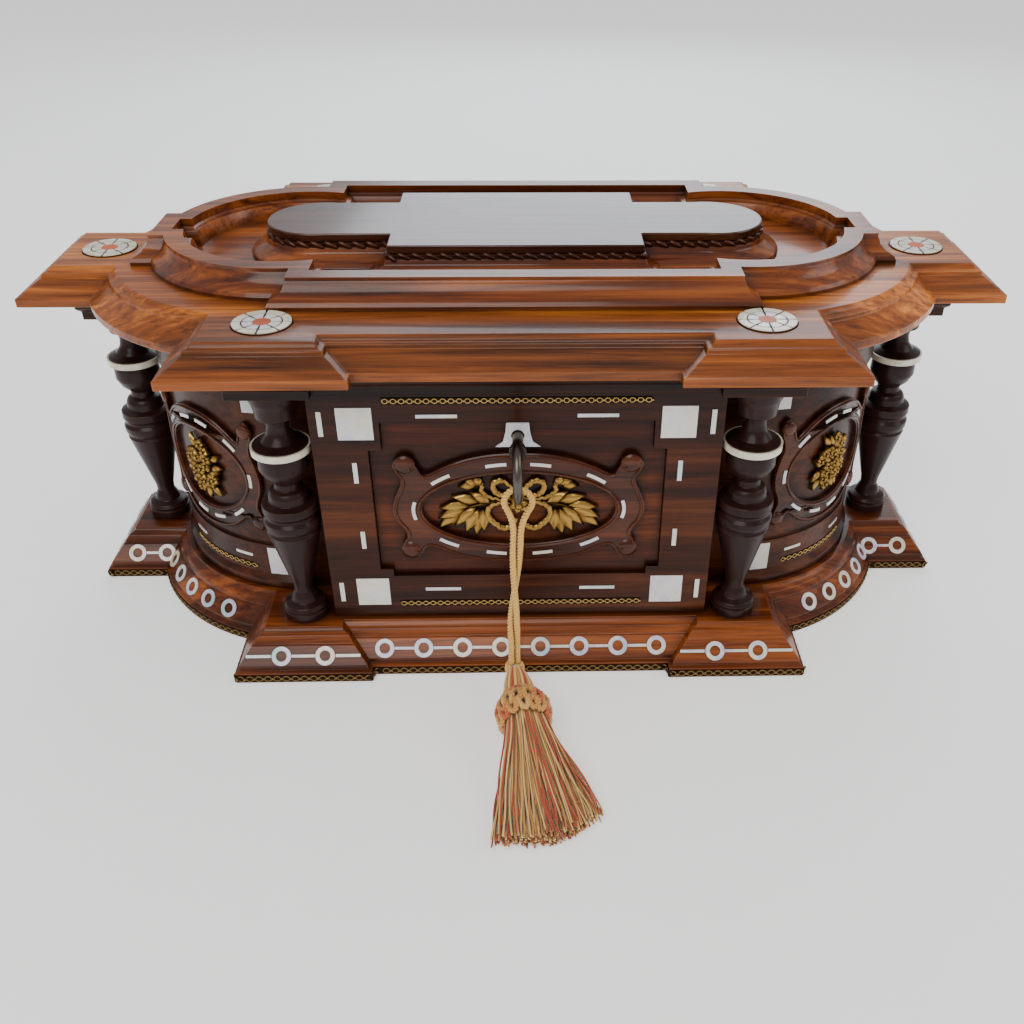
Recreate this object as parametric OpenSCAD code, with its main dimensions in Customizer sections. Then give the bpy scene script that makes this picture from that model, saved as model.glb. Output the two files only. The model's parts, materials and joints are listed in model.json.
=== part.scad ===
// Wind-up music box: a rosewood casket with six turned columns, a hinged moulded lid,
// pearl and brass inlay, a box lock with its key and tassel, and a comb-and-cylinder
// movement inside, wound by a key under the plinth.
// Origin: centre of the foot, on the surface it stands on. +Z up, front towards -Y.

/* [Casket] */
// Width of the lid over its two side blocks
lid_w = 460; // [430:1:552]
// Depth of the lid over its front and back blocks
lid_d = 252; // [240:1:302]
// Height of the case, from the foot to the underside of the lid
case_h = 157; // [148:1:190]
// Thickness of the walls
wall_t = 8; // [6:0.5:10]
// How far the blocks stand forward of the centre of the lid
lid_break = 7; // [4:0.5:9]
// How far the blocks stand forward of the centre of the plinth
base_break = 5; // [3:0.5:7]

/* [Lid] */
// Width of each lid block
lid_block_w = 77; // [66:1:84]
// Height of the lower tier of the lid
tier_h = 14.5; // [12:0.5:18]
// Height of the raised gallery on the lid
rim_h = 11.8; // [9:0.2:15]
// Half length of the central plaque
plaque_hx = 58; // [48:1:70]
// Half depth of the central plaque
plaque_hy = 40.5; // [34:0.5:48]
// Radius of the plaque's round ends
plaque_end_r = 24.5; // [20:0.5:29]
// Thickness of the plaque
plaque_t = 4; // [3:0.5:6]
// Radius of a pearl rosette
rosette_r = 12.6; // [9:0.2:14]

/* [Plinth and columns] */
// Height of the plinth
plinth_h = 23; // [20:1:28]
// Width of each plinth block
base_block_w = 66; // [60:1:72]
// Thickness of the bottom board
board_t = 8; // [6:0.5:10]
// Radius of a column at its pearl ring
column_r = 13.3; // [10:0.1:14]
// Outer radius of a plinth pearl ring
pearl_ring_r = 4.7; // [3.5:0.1:5]
// How far pearl and brass stand proud
inlay_t = 0.4; // [0.3:0.1:0.8]

/* [Lock and key] */
// Height of the keyhole
key_z = 121; // [112:1:126]
// Radius of the key's stem
key_r = 2.5; // [2:0.1:3]
// Length of the key's stem in front of the casket
key_reach = 17; // [12:1:22]
// Radius of the key's bow, to the middle of its wire
bow_r = 12; // [10:0.5:14]
// Thickness of the bow's wire
bow_d = 4; // [3:0.2:5]
// Travel of the lock's bolt
bolt_throw = 5; // [3:0.5:6]

/* [Hinges] */
// Length of each hinge
hinge_w = 40; // [30:1:50]
// Distance of each hinge from the middle
hinge_x = 60; // [40:1:62]
// Radius of a hinge pin
hinge_pin_r = 1.1; // [0.8:0.1:1.3]

/* [Movement] */
// Radius of the music cylinder
drum_r = 9.5; // [8:0.1:10]
// Length of the music cylinder
drum_len = 62; // [50:1:62]
// Number of comb teeth
comb_teeth = 36; // [20:1:48]
// Radius of the spring barrel
barrel_r = 14; // [12:0.5:14.2]
// Number of teeth on the barrel's crown
crown_teeth = 30; // [30:1:30]
// Number of teeth on the cylinder's pinion
pinion_teeth = 10; // [10:1:10]
// Number of teeth on each large wheel of the governor
wheel_teeth = 30; // [30:1:30]
// Radius of the winding arbor
arbor_r = 2; // [1.6:0.1:2.4]

/* [Fits] */
// Radial clearance of a running shaft
run_gap = 0.05; // [0.02:0.01:0.1]
// Gap between moving wooden faces
wood_gap = 0.3; // [0.2:0.05:0.6]
// Gap round a panel that drops into an opening
panel_gap = 0.1; // [0.05:0.05:0.3]

/* [Hidden] */
COLUMNS = ["column_front_left", "column_front_right", "column_side_left",
           "column_side_right", "column_back_left", "column_back_right"];

$fn = 64;

// plan of the lid and the plinth
end_reach = 125;                       // from the middle of an end's arc to the lid's side edge
end_x = lid_w / 2 - end_reach;         // middle of each end's arc, and of each front block
end_set = 27;                          // from the front block's edge back to the arc
lid_r = lid_d / 2 - end_set;           // radius of the lid's round ends
overhang = 4;                          // lid past the plinth's foot, all round
base_r = lid_r - overhang;

// walls
wall_set = 25;                         // from the lid's arc in to the wall
wall_r = lid_r - wall_set;
front_y = lid_d / 2 - 26;              // face of the front frame
front_hx = end_x - 14.5;               // half width of the front frame
open_r = wall_r - wall_t;              // inside of the round walls
open_hx = front_hx - wall_t;
open_hy = front_y - wall_t;
flat = 1;                              // straight walls stand this far inside the arcs
cornice_h = 14;
cornice_top = case_h - wood_gap;
cornice_z = cornice_top - cornice_h;   // underside of the cornice, top of walls and columns
wall_h = cornice_z - plinth_h;
board_z = plinth_h - board_t;

// columns
column_y = lid_d / 2 - 31;
column_x = lid_w / 2 - 33;
COLUMN_AT = [[-end_x, -column_y], [end_x, -column_y], [-column_x, 0],
             [column_x, 0], [-end_x, column_y], [end_x, column_y]];
column_h = cornice_z - plinth_h;

// lid heights
deck_z = case_h + tier_h;
pedestal_h = 8.6;
gadroon_h = 2;
plaque_z = deck_z + pedestal_h + gadroon_h;
lid_ledge = 14;                        // lid frame reaches this far in past the case opening
lid_panel_t = 8.5;
rim_y = lid_d / 2 - 46;                // foot of the gallery, front and back
lining_t = 1.5;

// front panel
frame_t = wall_t;
panel_set = 3;                         // panel face behind the frame's face
stile_in = front_hx - 24.5;            // inner edge of the stiles
corner_in = front_hx - 30.5;           // inner edge of the corner blocks
rail_low = plinth_h + 24;
rail_high = cornice_z - 13.7;
corner_low = plinth_h + 28;
corner_high = cornice_z - 27.7;
square_x = front_hx - 20;              // pearl squares
square_w = 15.6;
square_low = plinth_h + 15;
square_high = cornice_z - 14.2;
oval_z = plinth_h + 61;

// lock
lock_hx = 32;
lock_d = 12;
lock_y = -open_hy + 0.1;               // front of the lock case
lock_z = key_z - 15;
lock_wall = 1.2;
eye_w = bolt_throw + 1;                // length of the link plate's eyes
EYES = [-12.4, lock_hx - 20];          // where the two eyes begin
hook_z = cornice_top - 8;
bow_y = -front_y - key_reach - bow_r;  // middle of the bow

// hinges
hinge_y = lid_d / 2 - 15.5;
hinge_z = case_h;
knuckle_r = 2.4;
leaf_t = 1.5;
knuckle_w = hinge_w / 5;

// movement
plate_z = plinth_h + 4;                // underside of the bedplate
plate_t = 4;
mv = plate_z + plate_t;                // top of the bedplate
axis_z = mv + 15;                      // height of the cylinder's axis
axis_y = 48;
pinion_r = 4;
pitch = 2 * PI * pinion_r / pinion_teeth;
crown_r = pitch * crown_teeth / (2 * PI);
pinion_x = -32;
barrel_x = pinion_x - crown_r;
crown_z = axis_z - pinion_r;           // pitch plane of the crown
wheel_pitch = 2;
wheel_r = wheel_pitch * wheel_teeth / (2 * PI);
small_r = wheel_pitch * pinion_teeth / (2 * PI);
second_y = axis_y + wheel_r + small_r;
drum_x = -24;
great_x = drum_x + drum_len + 1;
plate_a = great_x + 4;                 // governor's left plate
worm_x = plate_a + 5.25;
worm_r = 1.6;
worm_y = second_y + wheel_r + 0.9 + worm_r + 0.3;
fly_z = axis_z + 15;
lever_x = 62;                          // pivot of the stop lever
lever_y = 16;
lever_front = 50;                      // length of its front arm, with the knob
lever_back = 54;                       // length of its back arm, with the finger
part_x = 72;                           // middle of the side partitions
part_t = 4;
part_y = -22;                          // middle of the front partition
part_h = 60;

// key cord: hand-chosen route of the middle of the two strands, top to bottom
rope_d = 3;
rope_loop_r = 6;
CORD_ROUTE = [[0, -129, 101], [0, -129, 96], [0, -129, 90.5], [-0.5, -129, 84], [-1, -129, 77],
              [-1.5, -129, 70], [-2, -129, 63], [-2.5, -129, 56], [-2.5, -129, 49],
              [-3, -129, 42], [-3, -129, 35], [-3, -129, 28], [-3, -129, 21],
              [-3, -129, 18]];
tassel_turn = 8;                       // tassel points this far round from straight ahead
tassel_at = [-3, -129, 14];             // middle of the knot
knot_r = 4.6;

// profiles: [inset from the outline, height], from the bottom up
lid_profile = [[0, 0], [0, 4], [1, 4.3], [9.2, 9.8], [10, 10], [10.4, 12], [12.4, 12.5],
               [13.2, 13.4], [14.6, tier_h]];
rim_profile = [[0, 0], [0, 1.6], [1, 3.2], [3.8, 4.6], [4.6, 5], [6.6, 7], [7.4, 9.2],
               [8, rim_h - 1.6], [8, rim_h]];
rim_hole = [[21.5, -1], [21.5, 0], [20.6, 4], [19.4, 6.8], [17.6, 7.2], [16.8, 8], [16.8, rim_h + 1]];
pedestal_profile = [[0, 0], [0, 1.5], [1.5, 3], [5, 4.2], [7.4, 6.2], [8.2, pedestal_h]];
plinth_profile = [[0, 0], [0, 5.4], [2, 6.2], [2, 8.4], [8.3, 16], [9.2, 16.4], [9.8, 18.2],
                  [11.2, 20], [13.4, 21], [14.3, plinth_h - 1], [14.3, plinth_h]];
cornice_profile = [[2, 0], [2, 4], [0, 6], [0, cornice_h]];

// ---- shapes that repeat ----

function side(prof, h) = [for (p = prof) [h - p[0], p[1]]];
function mirrored(pts) = concat(pts, [for (i = [len(pts) - 1:-1:0]) [-pts[i][0], pts[i][1]]]);

// moulded bar: the profile runs along both long sides, the ends are square
module bar_moulding(hx, hy, prof) {
    rotate([90, 0, 90]) linear_extrude(2 * hx, center = true) polygon(mirrored(side(prof, hy)));
}

// moulded block: the profile runs round all four sides with mitred corners
module block_moulding(hx, hy, prof) {
    intersection() {
        bar_moulding(hx + 1, hy, prof);
        rotate([0, 0, 90]) bar_moulding(hy + 1, hx, prof);
    }
}

module round_moulding(r, prof) {
    rotate_extrude($fn = 96)
        polygon(concat([[0, prof[0][1]]], side(prof, r), [[0, prof[len(prof) - 1][1]]]));
}

// casket plan: middle bar, two round ends, blocks front and back, one bar to both sides
module casket_moulding(hw, hd, r, block, brk, prof) {
    bar_moulding(end_x, hd - brk, prof);
    for (s = [-1, 1]) translate([s * end_x, 0, 0]) {
        round_moulding(r, prof);
        block_moulding(block / 2, hd, prof);
    }
    block_moulding(hw, block / 2, prof);
}

// plan of the inside of the case, g smaller all round
module opening(g) {
    for (s = [-1, 1]) translate([s * end_x, 0]) circle(r = open_r - g, $fn = 96);
    square([2 * end_x, 2 * (open_r - flat - g)], center = true);
    square([2 * (open_hx - g), 2 * (open_hy - g)], center = true);
}

module rim_plan(prof) {
    foot_x = end_x + 1;
    foot_r = lid_r - 30;
    block_moulding(foot_x, rim_y, prof);
    for (s = [-1, 1]) translate([s * end_x, 0, 0]) round_moulding(foot_r, prof);
    for (s = [-1, 1]) translate([s * (end_x + foot_r / 2 + 5), 0, 0]) block_moulding(foot_r / 2, 24.5, prof);
}

module plaque_plan(grow, prof) {
    block_moulding(plaque_hx + grow, plaque_hy + grow, prof);
    bar_moulding(plaque_arc_x, plaque_end_r - 0.5 + grow, prof);
    for (s = [-1, 1]) translate([s * plaque_arc_x, 0, 0]) round_moulding(plaque_end_r + grow, prof);
}
plaque_arc_x = plaque_hx + 35.5;

// gear: trapezoid teeth with backlash on a disc, axis along Z, tooth 0 on +X
module gear(teeth, r, pitch_len, h, bore, add = 0.7, ded = 0.9) {
    half = 0.21 * pitch_len;
    difference() {
        union() {
            cylinder(r = r - ded, h = h);
            for (i = [0:teeth - 1]) rotate([0, 0, i * 360 / teeth]) linear_extrude(h)
                polygon([[r - ded - 0.4, -half * 1.3], [r + add, -half * 0.6],
                         [r + add, half * 0.6], [r - ded - 0.4, half * 1.3]]);
        }
        if (bore > 0) translate([0, 0, -1]) cylinder(r = bore, h = h + 2);
    }
}

function unit(v) = v / norm(v);
// tube along points: one ring of corners square to the route at every point
module tube(pts, d, sides = 8) {
    n = len(pts);
    dir = [for (i = [0:n - 1]) unit(pts[min(i + 1, n - 1)] - pts[max(i - 1, 0)])];
    ref = [0, 1, 0];
    rings = [for (i = [0:n - 1]) let (a = unit(cross(dir[i], ref)), b = cross(a, dir[i]))
             for (k = [0:sides - 1]) pts[i] + d / 2 * (cos(k * 360 / sides) * a + sin(k * 360 / sides) * b)];
    faces = concat([[for (k = [0:sides - 1]) k]],
                   [for (i = [0:n - 2]) for (k = [0:sides - 1]) let (m = (k + 1) % sides)
                    [i * sides + m, i * sides + k, (i + 1) * sides + k, (i + 1) * sides + m]],
                   [[for (k = [sides - 1:-1:0]) (n - 1) * sides + k]]);
    polyhedron(rings, faces, convexity = 6);
}

module disc_x(r, x0, x1) translate([x0, 0, 0]) rotate([0, 90, 0]) cylinder(r = r, h = x1 - x0);
module box_at(lo, hi) translate(lo) cube(hi - lo);
module mirror_x() { children(); mirror([1, 0, 0]) children(); }
module mirror_y() { children(); mirror([0, 1, 0]) children(); }

// ---- case ----

module plinth_frame() color("saddlebrown") difference() {
    casket_moulding(lid_w / 2 - overhang, lid_d / 2 - overhang, base_r, base_block_w, base_break,
                    plinth_profile);
    translate([0, 0, -1]) linear_extrude(plinth_h + 2) opening(2);
}

module base_board() color("sienna") difference() {
    translate([0, 0, board_z]) linear_extrude(board_t) opening(2 + panel_gap);
    translate([barrel_x, axis_y, 0]) cylinder(r = arbor_r + run_gap, h = plinth_h + 1);
}

module wall_frame() {
    difference() {
        box_at([-front_hx, -front_y, plinth_h], [front_hx, -front_y + frame_t, cornice_z]);
        box_at([-stile_in, -front_y - 1, rail_low], [stile_in, -front_y + frame_t + 1, rail_high]);
    }
    mirror_x() {
        box_at([corner_in, -front_y, rail_low - 1], [stile_in + 1, -front_y + frame_t, corner_low]);
        box_at([corner_in, -front_y, corner_high], [stile_in + 1, -front_y + frame_t, rail_high + 1]);
        box_at([open_hx, -front_y + frame_t - 1, plinth_h], [front_hx, -wall_r + wall_t, cornice_z]);
        box_at([open_hx + 1, -wall_r, plinth_h], [end_x, -wall_r + wall_t, cornice_z]);
    }
}

module panel_board() difference() {
    box_at([-stile_in + panel_gap, -front_y + panel_set, rail_low + panel_gap],
           [stile_in - panel_gap, -front_y + frame_t, rail_high - panel_gap]);
    mirror_x() {
        box_at([corner_in - panel_gap, -front_y, rail_low - 1],
               [stile_in + 1, -front_y + frame_t + 1, corner_low + panel_gap]);
        box_at([corner_in - panel_gap, -front_y, corner_high - panel_gap],
               [stile_in + 1, -front_y + frame_t + 1, rail_high + 1]);
    }
}

// keyhole: a round hole for the stem over a slot for the bit, cut along Y
module keyhole(y0, y1) {
    translate([0, y1, key_z]) rotate([90, 0, 0]) cylinder(r = key_r + 0.4, h = y1 - y0);
    box_at([-1.3, y0, key_z - 8], [1.3, y1, key_z]);
}

module front_frame() color("saddlebrown") wall_frame();
module front_panel() color("saddlebrown") difference() {
    panel_board();
    keyhole(-front_y - 5, -front_y + frame_t + 5);
}
module back_frame() color("saddlebrown") rotate([0, 0, 180]) wall_frame();
module back_panel() color("saddlebrown") rotate([0, 0, 180]) panel_board();

// half-round end wall with raised rails at its foot and head
module end_wall(s) color("saddlebrown") translate([s * end_x, 0, plinth_h])
    rotate([0, 0, s > 0 ? -90 : 90]) rotate_extrude(angle = 180, $fn = 96)
        polygon([[wall_r - wall_t, 0], [wall_r + 4, 0], [wall_r + 4, 4], [wall_r + 1.5, 7],
                 [wall_r + 1.5, 24], [wall_r, 24], [wall_r, wall_h - 16],
                 [wall_r + 1.5, wall_h - 16], [wall_r + 1.5, wall_h], [wall_r - wall_t, wall_h]]);

module cornice() color("saddlebrown") difference() {
    translate([0, 0, cornice_z]) {
        bar_moulding(end_x, front_y + 3, cornice_profile);
        for (s = [-1, 1]) translate([s * end_x, 0, 0]) {
            round_moulding(wall_r + 5, cornice_profile);
            block_moulding(20, lid_d / 2 - 18, cornice_profile);
        }
        block_moulding(lid_w / 2 - 18, 20, cornice_profile);
    }
    translate([0, 0, cornice_z - 1]) linear_extrude(cornice_h + 2) opening(0);
    mirror_x() translate([hinge_x, 0, 0])
        box_at([-hinge_w / 2, hinge_y - 24.5, cornice_top - leaf_t], [hinge_w / 2, hinge_y, cornice_top + 1]);
}

// turned column; heights are shares of its length, radii of its pearl ring
function turned(h, r) = [
    [0, 0], [0.79 * r, 0], [0.79 * r, 0.033 * h], [0.72 * r, 0.038 * h], [0.79 * r, 0.05 * h],
    [0.72 * r, 0.063 * h], [0.5 * r, 0.075 * h], [0.45 * r, 0.095 * h], [0.34 * r, 0.12 * h],
    [0.36 * r, 0.15 * h], [0.9 * r, 0.4 * h], [0.93 * r, 0.41 * h], [0.88 * r, 0.42 * h],
    [0.97 * r, 0.44 * h], [0.98 * r, 0.465 * h], [0.88 * r, 0.48 * h], [0.88 * r, 0.49 * h],
    [0.97 * r, 0.505 * h], [0.95 * r, 0.535 * h], [0.7 * r, 0.548 * h], [0.68 * r, 0.575 * h],
    [0.6 * r, 0.59 * h], [0.44 * r, 0.6 * h], [0.44 * r, 0.625 * h], [0.7 * r, 0.655 * h],
    [0.85 * r, 0.69 * h], [0.84 * r, 0.725 * h], [0.8 * r, 0.75 * h], [0.93 * r, 0.755 * h],
    [0.93 * r, 0.785 * h], [0.62 * r, 0.8 * h], [0.42 * r, 0.83 * h], [0.37 * r, 0.86 * h],
    [0.4 * r, 0.885 * h], [0.66 * r, 0.9 * h], [0.69 * r, 0.93 * h], [0.72 * r, 0.95 * h],
    [0.79 * r, 0.97 * h], [0.79 * r, h], [0, h]];

module column(at) color([0.09, 0.07, 0.07]) translate([at[0], at[1], plinth_h])
    rotate_extrude($fn = 48) polygon(turned(column_h, column_r));

module column_pearl_rings() color("gainsboro") for (at = COLUMN_AT)
    translate([at[0], at[1], plinth_h + 0.757 * column_h]) difference() {
        cylinder(r = column_r, h = 0.026 * column_h);
        translate([0, 0, -1]) cylinder(r = 0.93 * column_r, h = 0.026 * column_h + 2);
    }

// ---- inlay ----

band_tilt = atan((16 - 8.4) / (8.3 - 2));      // slope of the plinth band
band_mid = [(2 + 8.3) / 2, (8.4 + 16) / 2];    // inset and height of its middle
module on_band(inset_from) translate([0, -inset_from + band_mid[0], band_mid[1]])
    rotate([band_tilt, 0, 0]) children();
module pearl_ring() translate([0, 0, -0.4]) difference() {
    cylinder(r = pearl_ring_r, h = 0.4 + inlay_t, $fn = 32);
    translate([0, 0, -1]) cylinder(r = 0.55 * pearl_ring_r, h = 3, $fn = 32);
}
// n rings and the bars between them along a straight stretch of the band
module ring_row(n, gap) {
    for (i = [0:n - 1]) translate([(i - (n - 1) / 2) * gap, 0, 0]) pearl_ring();
    for (i = [0:max(n - 2, 0)]) if (n > 1) translate([(i + 1 - n / 2) * gap, 0, 0])
        box_at([-gap / 2 + pearl_ring_r + 0.1, -0.7, -0.4], [gap / 2 - pearl_ring_r - 0.1, 0.7, inlay_t]);
}
centre_rings = 8;
centre_gap = 2 * (end_x - base_block_w / 2) / 7.6;
arc_rings = 5;
module plinth_pearl() color("gainsboro") {
    mirror_y() {
        on_band(lid_d / 2 - overhang - base_break) ring_row(centre_rings, centre_gap);
        for (s = [-1, 1]) {
            translate([s * end_x, 0, 0]) on_band(lid_d / 2 - overhang) ring_row(2, 21);
            translate([s * (lid_w / 2 - overhang - 24), 0, 0]) on_band(base_block_w / 2) ring_row(2, 16);
        }
        for (s = [-1, 1]) for (i = [0:arc_rings - 1])
            translate([s * end_x, 0, 0]) rotate([0, 0, s * (29.5 + i * 9.6)])
                on_band(base_r) ring_row(1, 10);
    }
    for (s = [-1, 1]) rotate([0, 0, s * 90]) on_band(lid_w / 2 - overhang) ring_row(3, 17);
}

module plinth_brass_band() color("goldenrod") difference() {
    translate([0, 0, 1]) casket_moulding(lid_w / 2 - overhang + inlay_t, lid_d / 2 - overhang + inlay_t,
        base_r + inlay_t, base_block_w + 2 * inlay_t, base_break, [[0, 0], [0, 3.6]]);
    casket_moulding(lid_w / 2 - overhang, lid_d / 2 - overhang, base_r, base_block_w, base_break,
                    [[0, 0], [0, 10]]);
}

module on_front(x, z, w, h, y = front_y)
    box_at([x - w / 2, -y - inlay_t, z - h / 2], [x + w / 2, -y, z + h / 2]);
module front_inlay() {
    for (s = [-1, 1]) {
        on_front(s * square_x, square_low, square_w, square_w);
        on_front(s * square_x, square_high, square_w, square_w);
        on_front(s * (front_hx - 5), square_low, 2.2, 11);
        on_front(s * (front_hx - 5), square_high, 2.2, 12);
        on_front(s * (front_hx - 18), oval_z + 20, 2.1, 10.5);
        on_front(s * (front_hx - 18), oval_z - 16, 2.1, 9.5);
        on_front(s * 37, plinth_h + 16.3, 17, 1.7);
        on_front(s * 35, cornice_z - 10.7, 18, 1.7);
    }
}
module wall_pearl() color("gainsboro") {
    front_inlay();
    rotate([0, 0, 180]) front_inlay();
    for (s = [-1, 1]) translate([s * end_x, 0, 0]) for (a = [-80, 80]) for (z = [square_low, square_high])
        rotate([0, 0, s * 90 + a]) on_front(0, z, square_w, square_w, wall_r + 1.4);
}
module wall_brass_strips() color("goldenrod") for (t = [0, 180]) rotate([0, 0, t]) {
    on_front(0, plinth_h + 8, 116, 3);
    on_front(0, cornice_z - 3.3, 116, 3);
}

function ellipse(a, b, n = 48) = [for (i = [0:n - 1]) [a * cos(i * 360 / n), b * sin(i * 360 / n)]];
QUARTERS = [-50, 50];              // the round walls' cartouches stand this far round from the ends
ESCUTCHEON = [[-10, -5.5], [-6.6, -3], [-5.4, 2], [-5, 6.5], [5, 6.5], [5.4, 2], [6.6, -3], [10, -5.5]];
// raised strapwork: a broad oval ring with four round ears
module strap_outline(a, b) difference() {
    union() {
        polygon(ellipse(a, b));
        for (sx = [-1, 1]) for (sz = [-1, 1]) translate([sx * 0.86 * a, sz * 0.86 * b]) circle(r = 0.24 * b);
    }
    polygon(ellipse(0.76 * a, 0.66 * b));
}
module cartouches() color("saddlebrown") {
    for (t = [0, 180]) rotate([0, 0, t]) difference() {
        translate([0, -front_y + panel_set, oval_z]) rotate([90, 0, 0]) linear_extrude(3.4)
            strap_outline(58.5, 29);
        keyhole(-front_y - 5, -front_y + 5);
        translate([0, -front_y + 5, key_z]) rotate([90, 0, 0]) linear_extrude(15) offset(delta = 0.2)
            polygon(ESCUTCHEON);
        translate([0, -front_y + 5, key_z]) rotate([90, 0, 0]) cylinder(r = 7, h = 15);
    }
    for (s = [-1, 1]) for (q = QUARTERS) translate([s * end_x, 0, oval_z]) intersection() {
        rotate([0, 0, s * 90 + q]) rotate([90, 0, 0]) linear_extrude(wall_r + 10) strap_outline(34, 32);
        translate([0, 0, -60]) difference() {
            cylinder(r = wall_r + 2.6, h = 120, $fn = 96);
            translate([0, 0, -1]) cylinder(r = wall_r, h = 122, $fn = 96);
        }
    }
}

// one pointed leaf, base at the origin, along +X
function leaf(l, w, n = 4) = concat([for (i = [0:n]) [l * i / n, w / 2 * sin(180 * i / n)]],
                                    [for (i = [n - 1:-1:1]) [l * i / n, -w / 2 * sin(180 * i / n)]]);
module leaf_spray() linear_extrude(2.6) offset(r = 0.2, $fn = 8) {
    for (i = [0:4]) translate([8 + 5.2 * i, 5 - 2.1 * i]) for (t = [28 - 8 * i, -52 + 6 * i])
        rotate(t) polygon(leaf(13, 5));
    translate([0, 6]) rotate(-20) square([32, 1.6]);
}
module ribbon_bow() linear_extrude(2.6) offset(r = 0.2, $fn = 8) for (s = [-1, 1]) {
    translate([s * 9, 8]) difference() { circle(r = 6.2, $fn = 24); circle(r = 4.4, $fn = 24); }
    translate([s * 9, -6]) difference() { circle(r = 5.8, $fn = 24); circle(r = 4.1, $fn = 24); }
    square([9, 9], center = true);
}
module flower_cluster() linear_extrude(2.6) offset(r = 0.2, $fn = 8) {
    for (i = [0:4]) rotate(i * 72 + 18) translate([3, 0]) polygon(leaf(10, 6));
    for (i = [0:5]) rotate(i * 60 + 90) translate([7, 0]) polygon(leaf(9, 4));
    circle(r = 5, $fn = 24);
}
module gilt_mounts() color("goldenrod") {
    for (t = [0, 180]) rotate([0, 0, t]) translate([0, -front_y + panel_set, oval_z - 1]) rotate([90, 0, 0]) {
        mirror_x() translate([3, 0, 0]) leaf_spray();
        ribbon_bow();
    }
    for (s = [-1, 1]) for (q = QUARTERS) translate([s * end_x, 0, oval_z]) rotate([0, 0, s * 90 + q])
        translate([0, -wall_r - 0.2, 0]) rotate([90, 0, 0]) flower_cluster();
}

module escutcheon() color("gainsboro") difference() {
    translate([0, -front_y + panel_set, key_z]) rotate([90, 0, 0]) linear_extrude(1) difference() {
        polygon(ESCUTCHEON);
        circle(r = key_r + 0.4);
        translate([-1.3, -8]) square([2.6, 8]);
    }
}

// ---- lock and key ----

module lock_case() color("darkgoldenrod") difference() {
    box_at([-lock_hx, lock_y, lock_z], [lock_hx, lock_y + lock_d, cornice_top]);
    box_at([-lock_hx + lock_wall, lock_y + lock_wall, lock_z + lock_wall],
           [lock_hx - lock_wall, lock_y + lock_d - lock_wall, cornice_top - lock_wall]);
    keyhole(lock_y - 1, lock_y + lock_wall + 0.5);
    translate([0, lock_y + lock_d + 1, key_z]) rotate([90, 0, 0]) cylinder(r = key_r + run_gap, h = 5);
    for (x = EYES) box_at([x - 0.6, lock_y + 2.5, cornice_top - 5],
                          [x + eye_w + 1, lock_y + 8.5, cornice_top + 1]);
}

module lock_bolt() color("darkgray") {
    y = lock_y + 4;
    box_at([-27, y, hook_z - 9], [20, y + 3, hook_z - 5]);
    for (x = EYES) {
        box_at([x - bolt_throw - 4, y, hook_z - 5.5], [x - bolt_throw - 0.4, y + 3, hook_z + 3]);
        box_at([x - bolt_throw - 0.5, y, hook_z], [x - 0.8, y + 3, hook_z + 3]);
    }
    box_at([-8, y, key_z + 8.6], [8, y + 3, hook_z - 8.5]);
}

module link_plate() color("darkgoldenrod") {
    box_at([-lock_hx, lock_y + 0.5, case_h], [lock_hx, lock_y + lock_d - 1, case_h + leaf_t]);
    for (x = EYES) difference() {
        box_at([x, lock_y + 3, hook_z - 2], [x + eye_w, lock_y + 8, case_h + 0.5]);
        box_at([x - 1, lock_y + 3.7, hook_z - 0.7], [x + eye_w + 1, lock_y + 7.3, hook_z + 3.7]);
    }
}

module lock_key() color([0.2, 0.19, 0.18]) {
    translate([0, -front_y - key_reach + 0.5, key_z]) rotate([-90, 0, 0])
        cylinder(r = key_r, h = key_reach - 0.5 + frame_t + lock_d + 0.6);
    translate([0, -front_y - key_reach + 4, key_z]) rotate([-90, 0, 0]) cylinder(r = key_r + 1.3, h = 2);
    translate([0, -front_y - key_reach + 7, key_z]) rotate([-90, 0, 0]) cylinder(r = key_r + 0.8, h = 1.2);
    box_at([-0.9, lock_y + 3, key_z - 7], [0.9, lock_y + 7.5, key_z - key_r + 0.4]);
    translate([0, bow_y, key_z]) rotate([0, 90, 0])
        rotate_extrude($fn = 64) translate([bow_r, 0]) circle(r = bow_d / 2, $fn = 24);
}

// rope over the bow's lower limb, open below
loop_top = key_z - bow_r + bow_d / 2 + rope_d / 2 + 0.05;
loop_mid = loop_top - rope_loop_r;
loop_end = 103;
LOOP = concat([[-rope_loop_r + 1.2, bow_y, loop_end]],
              [for (a = [180:-20:0]) [rope_loop_r * cos(a), bow_y, loop_mid + rope_loop_r * sin(a)]],
              [[rope_loop_r - 1.2, bow_y, loop_end]]);
module key_cord_loop() color("burlywood") tube(LOOP, rope_d, 8);
// each strand turns half round the other on the way down
function strand(s) = [for (i = [0:len(CORD_ROUTE) - 1]) let (t = i / (len(CORD_ROUTE) - 1), a = 200 * t,
    w = i == 0 ? 4 : i == 1 ? 2.6 : 1.6) CORD_ROUTE[i] + s * w * [cos(a), sin(a), 0]];
module key_cord() color("burlywood") for (s = [-1, 1]) tube(strand(s), rope_d, 8);

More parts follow.
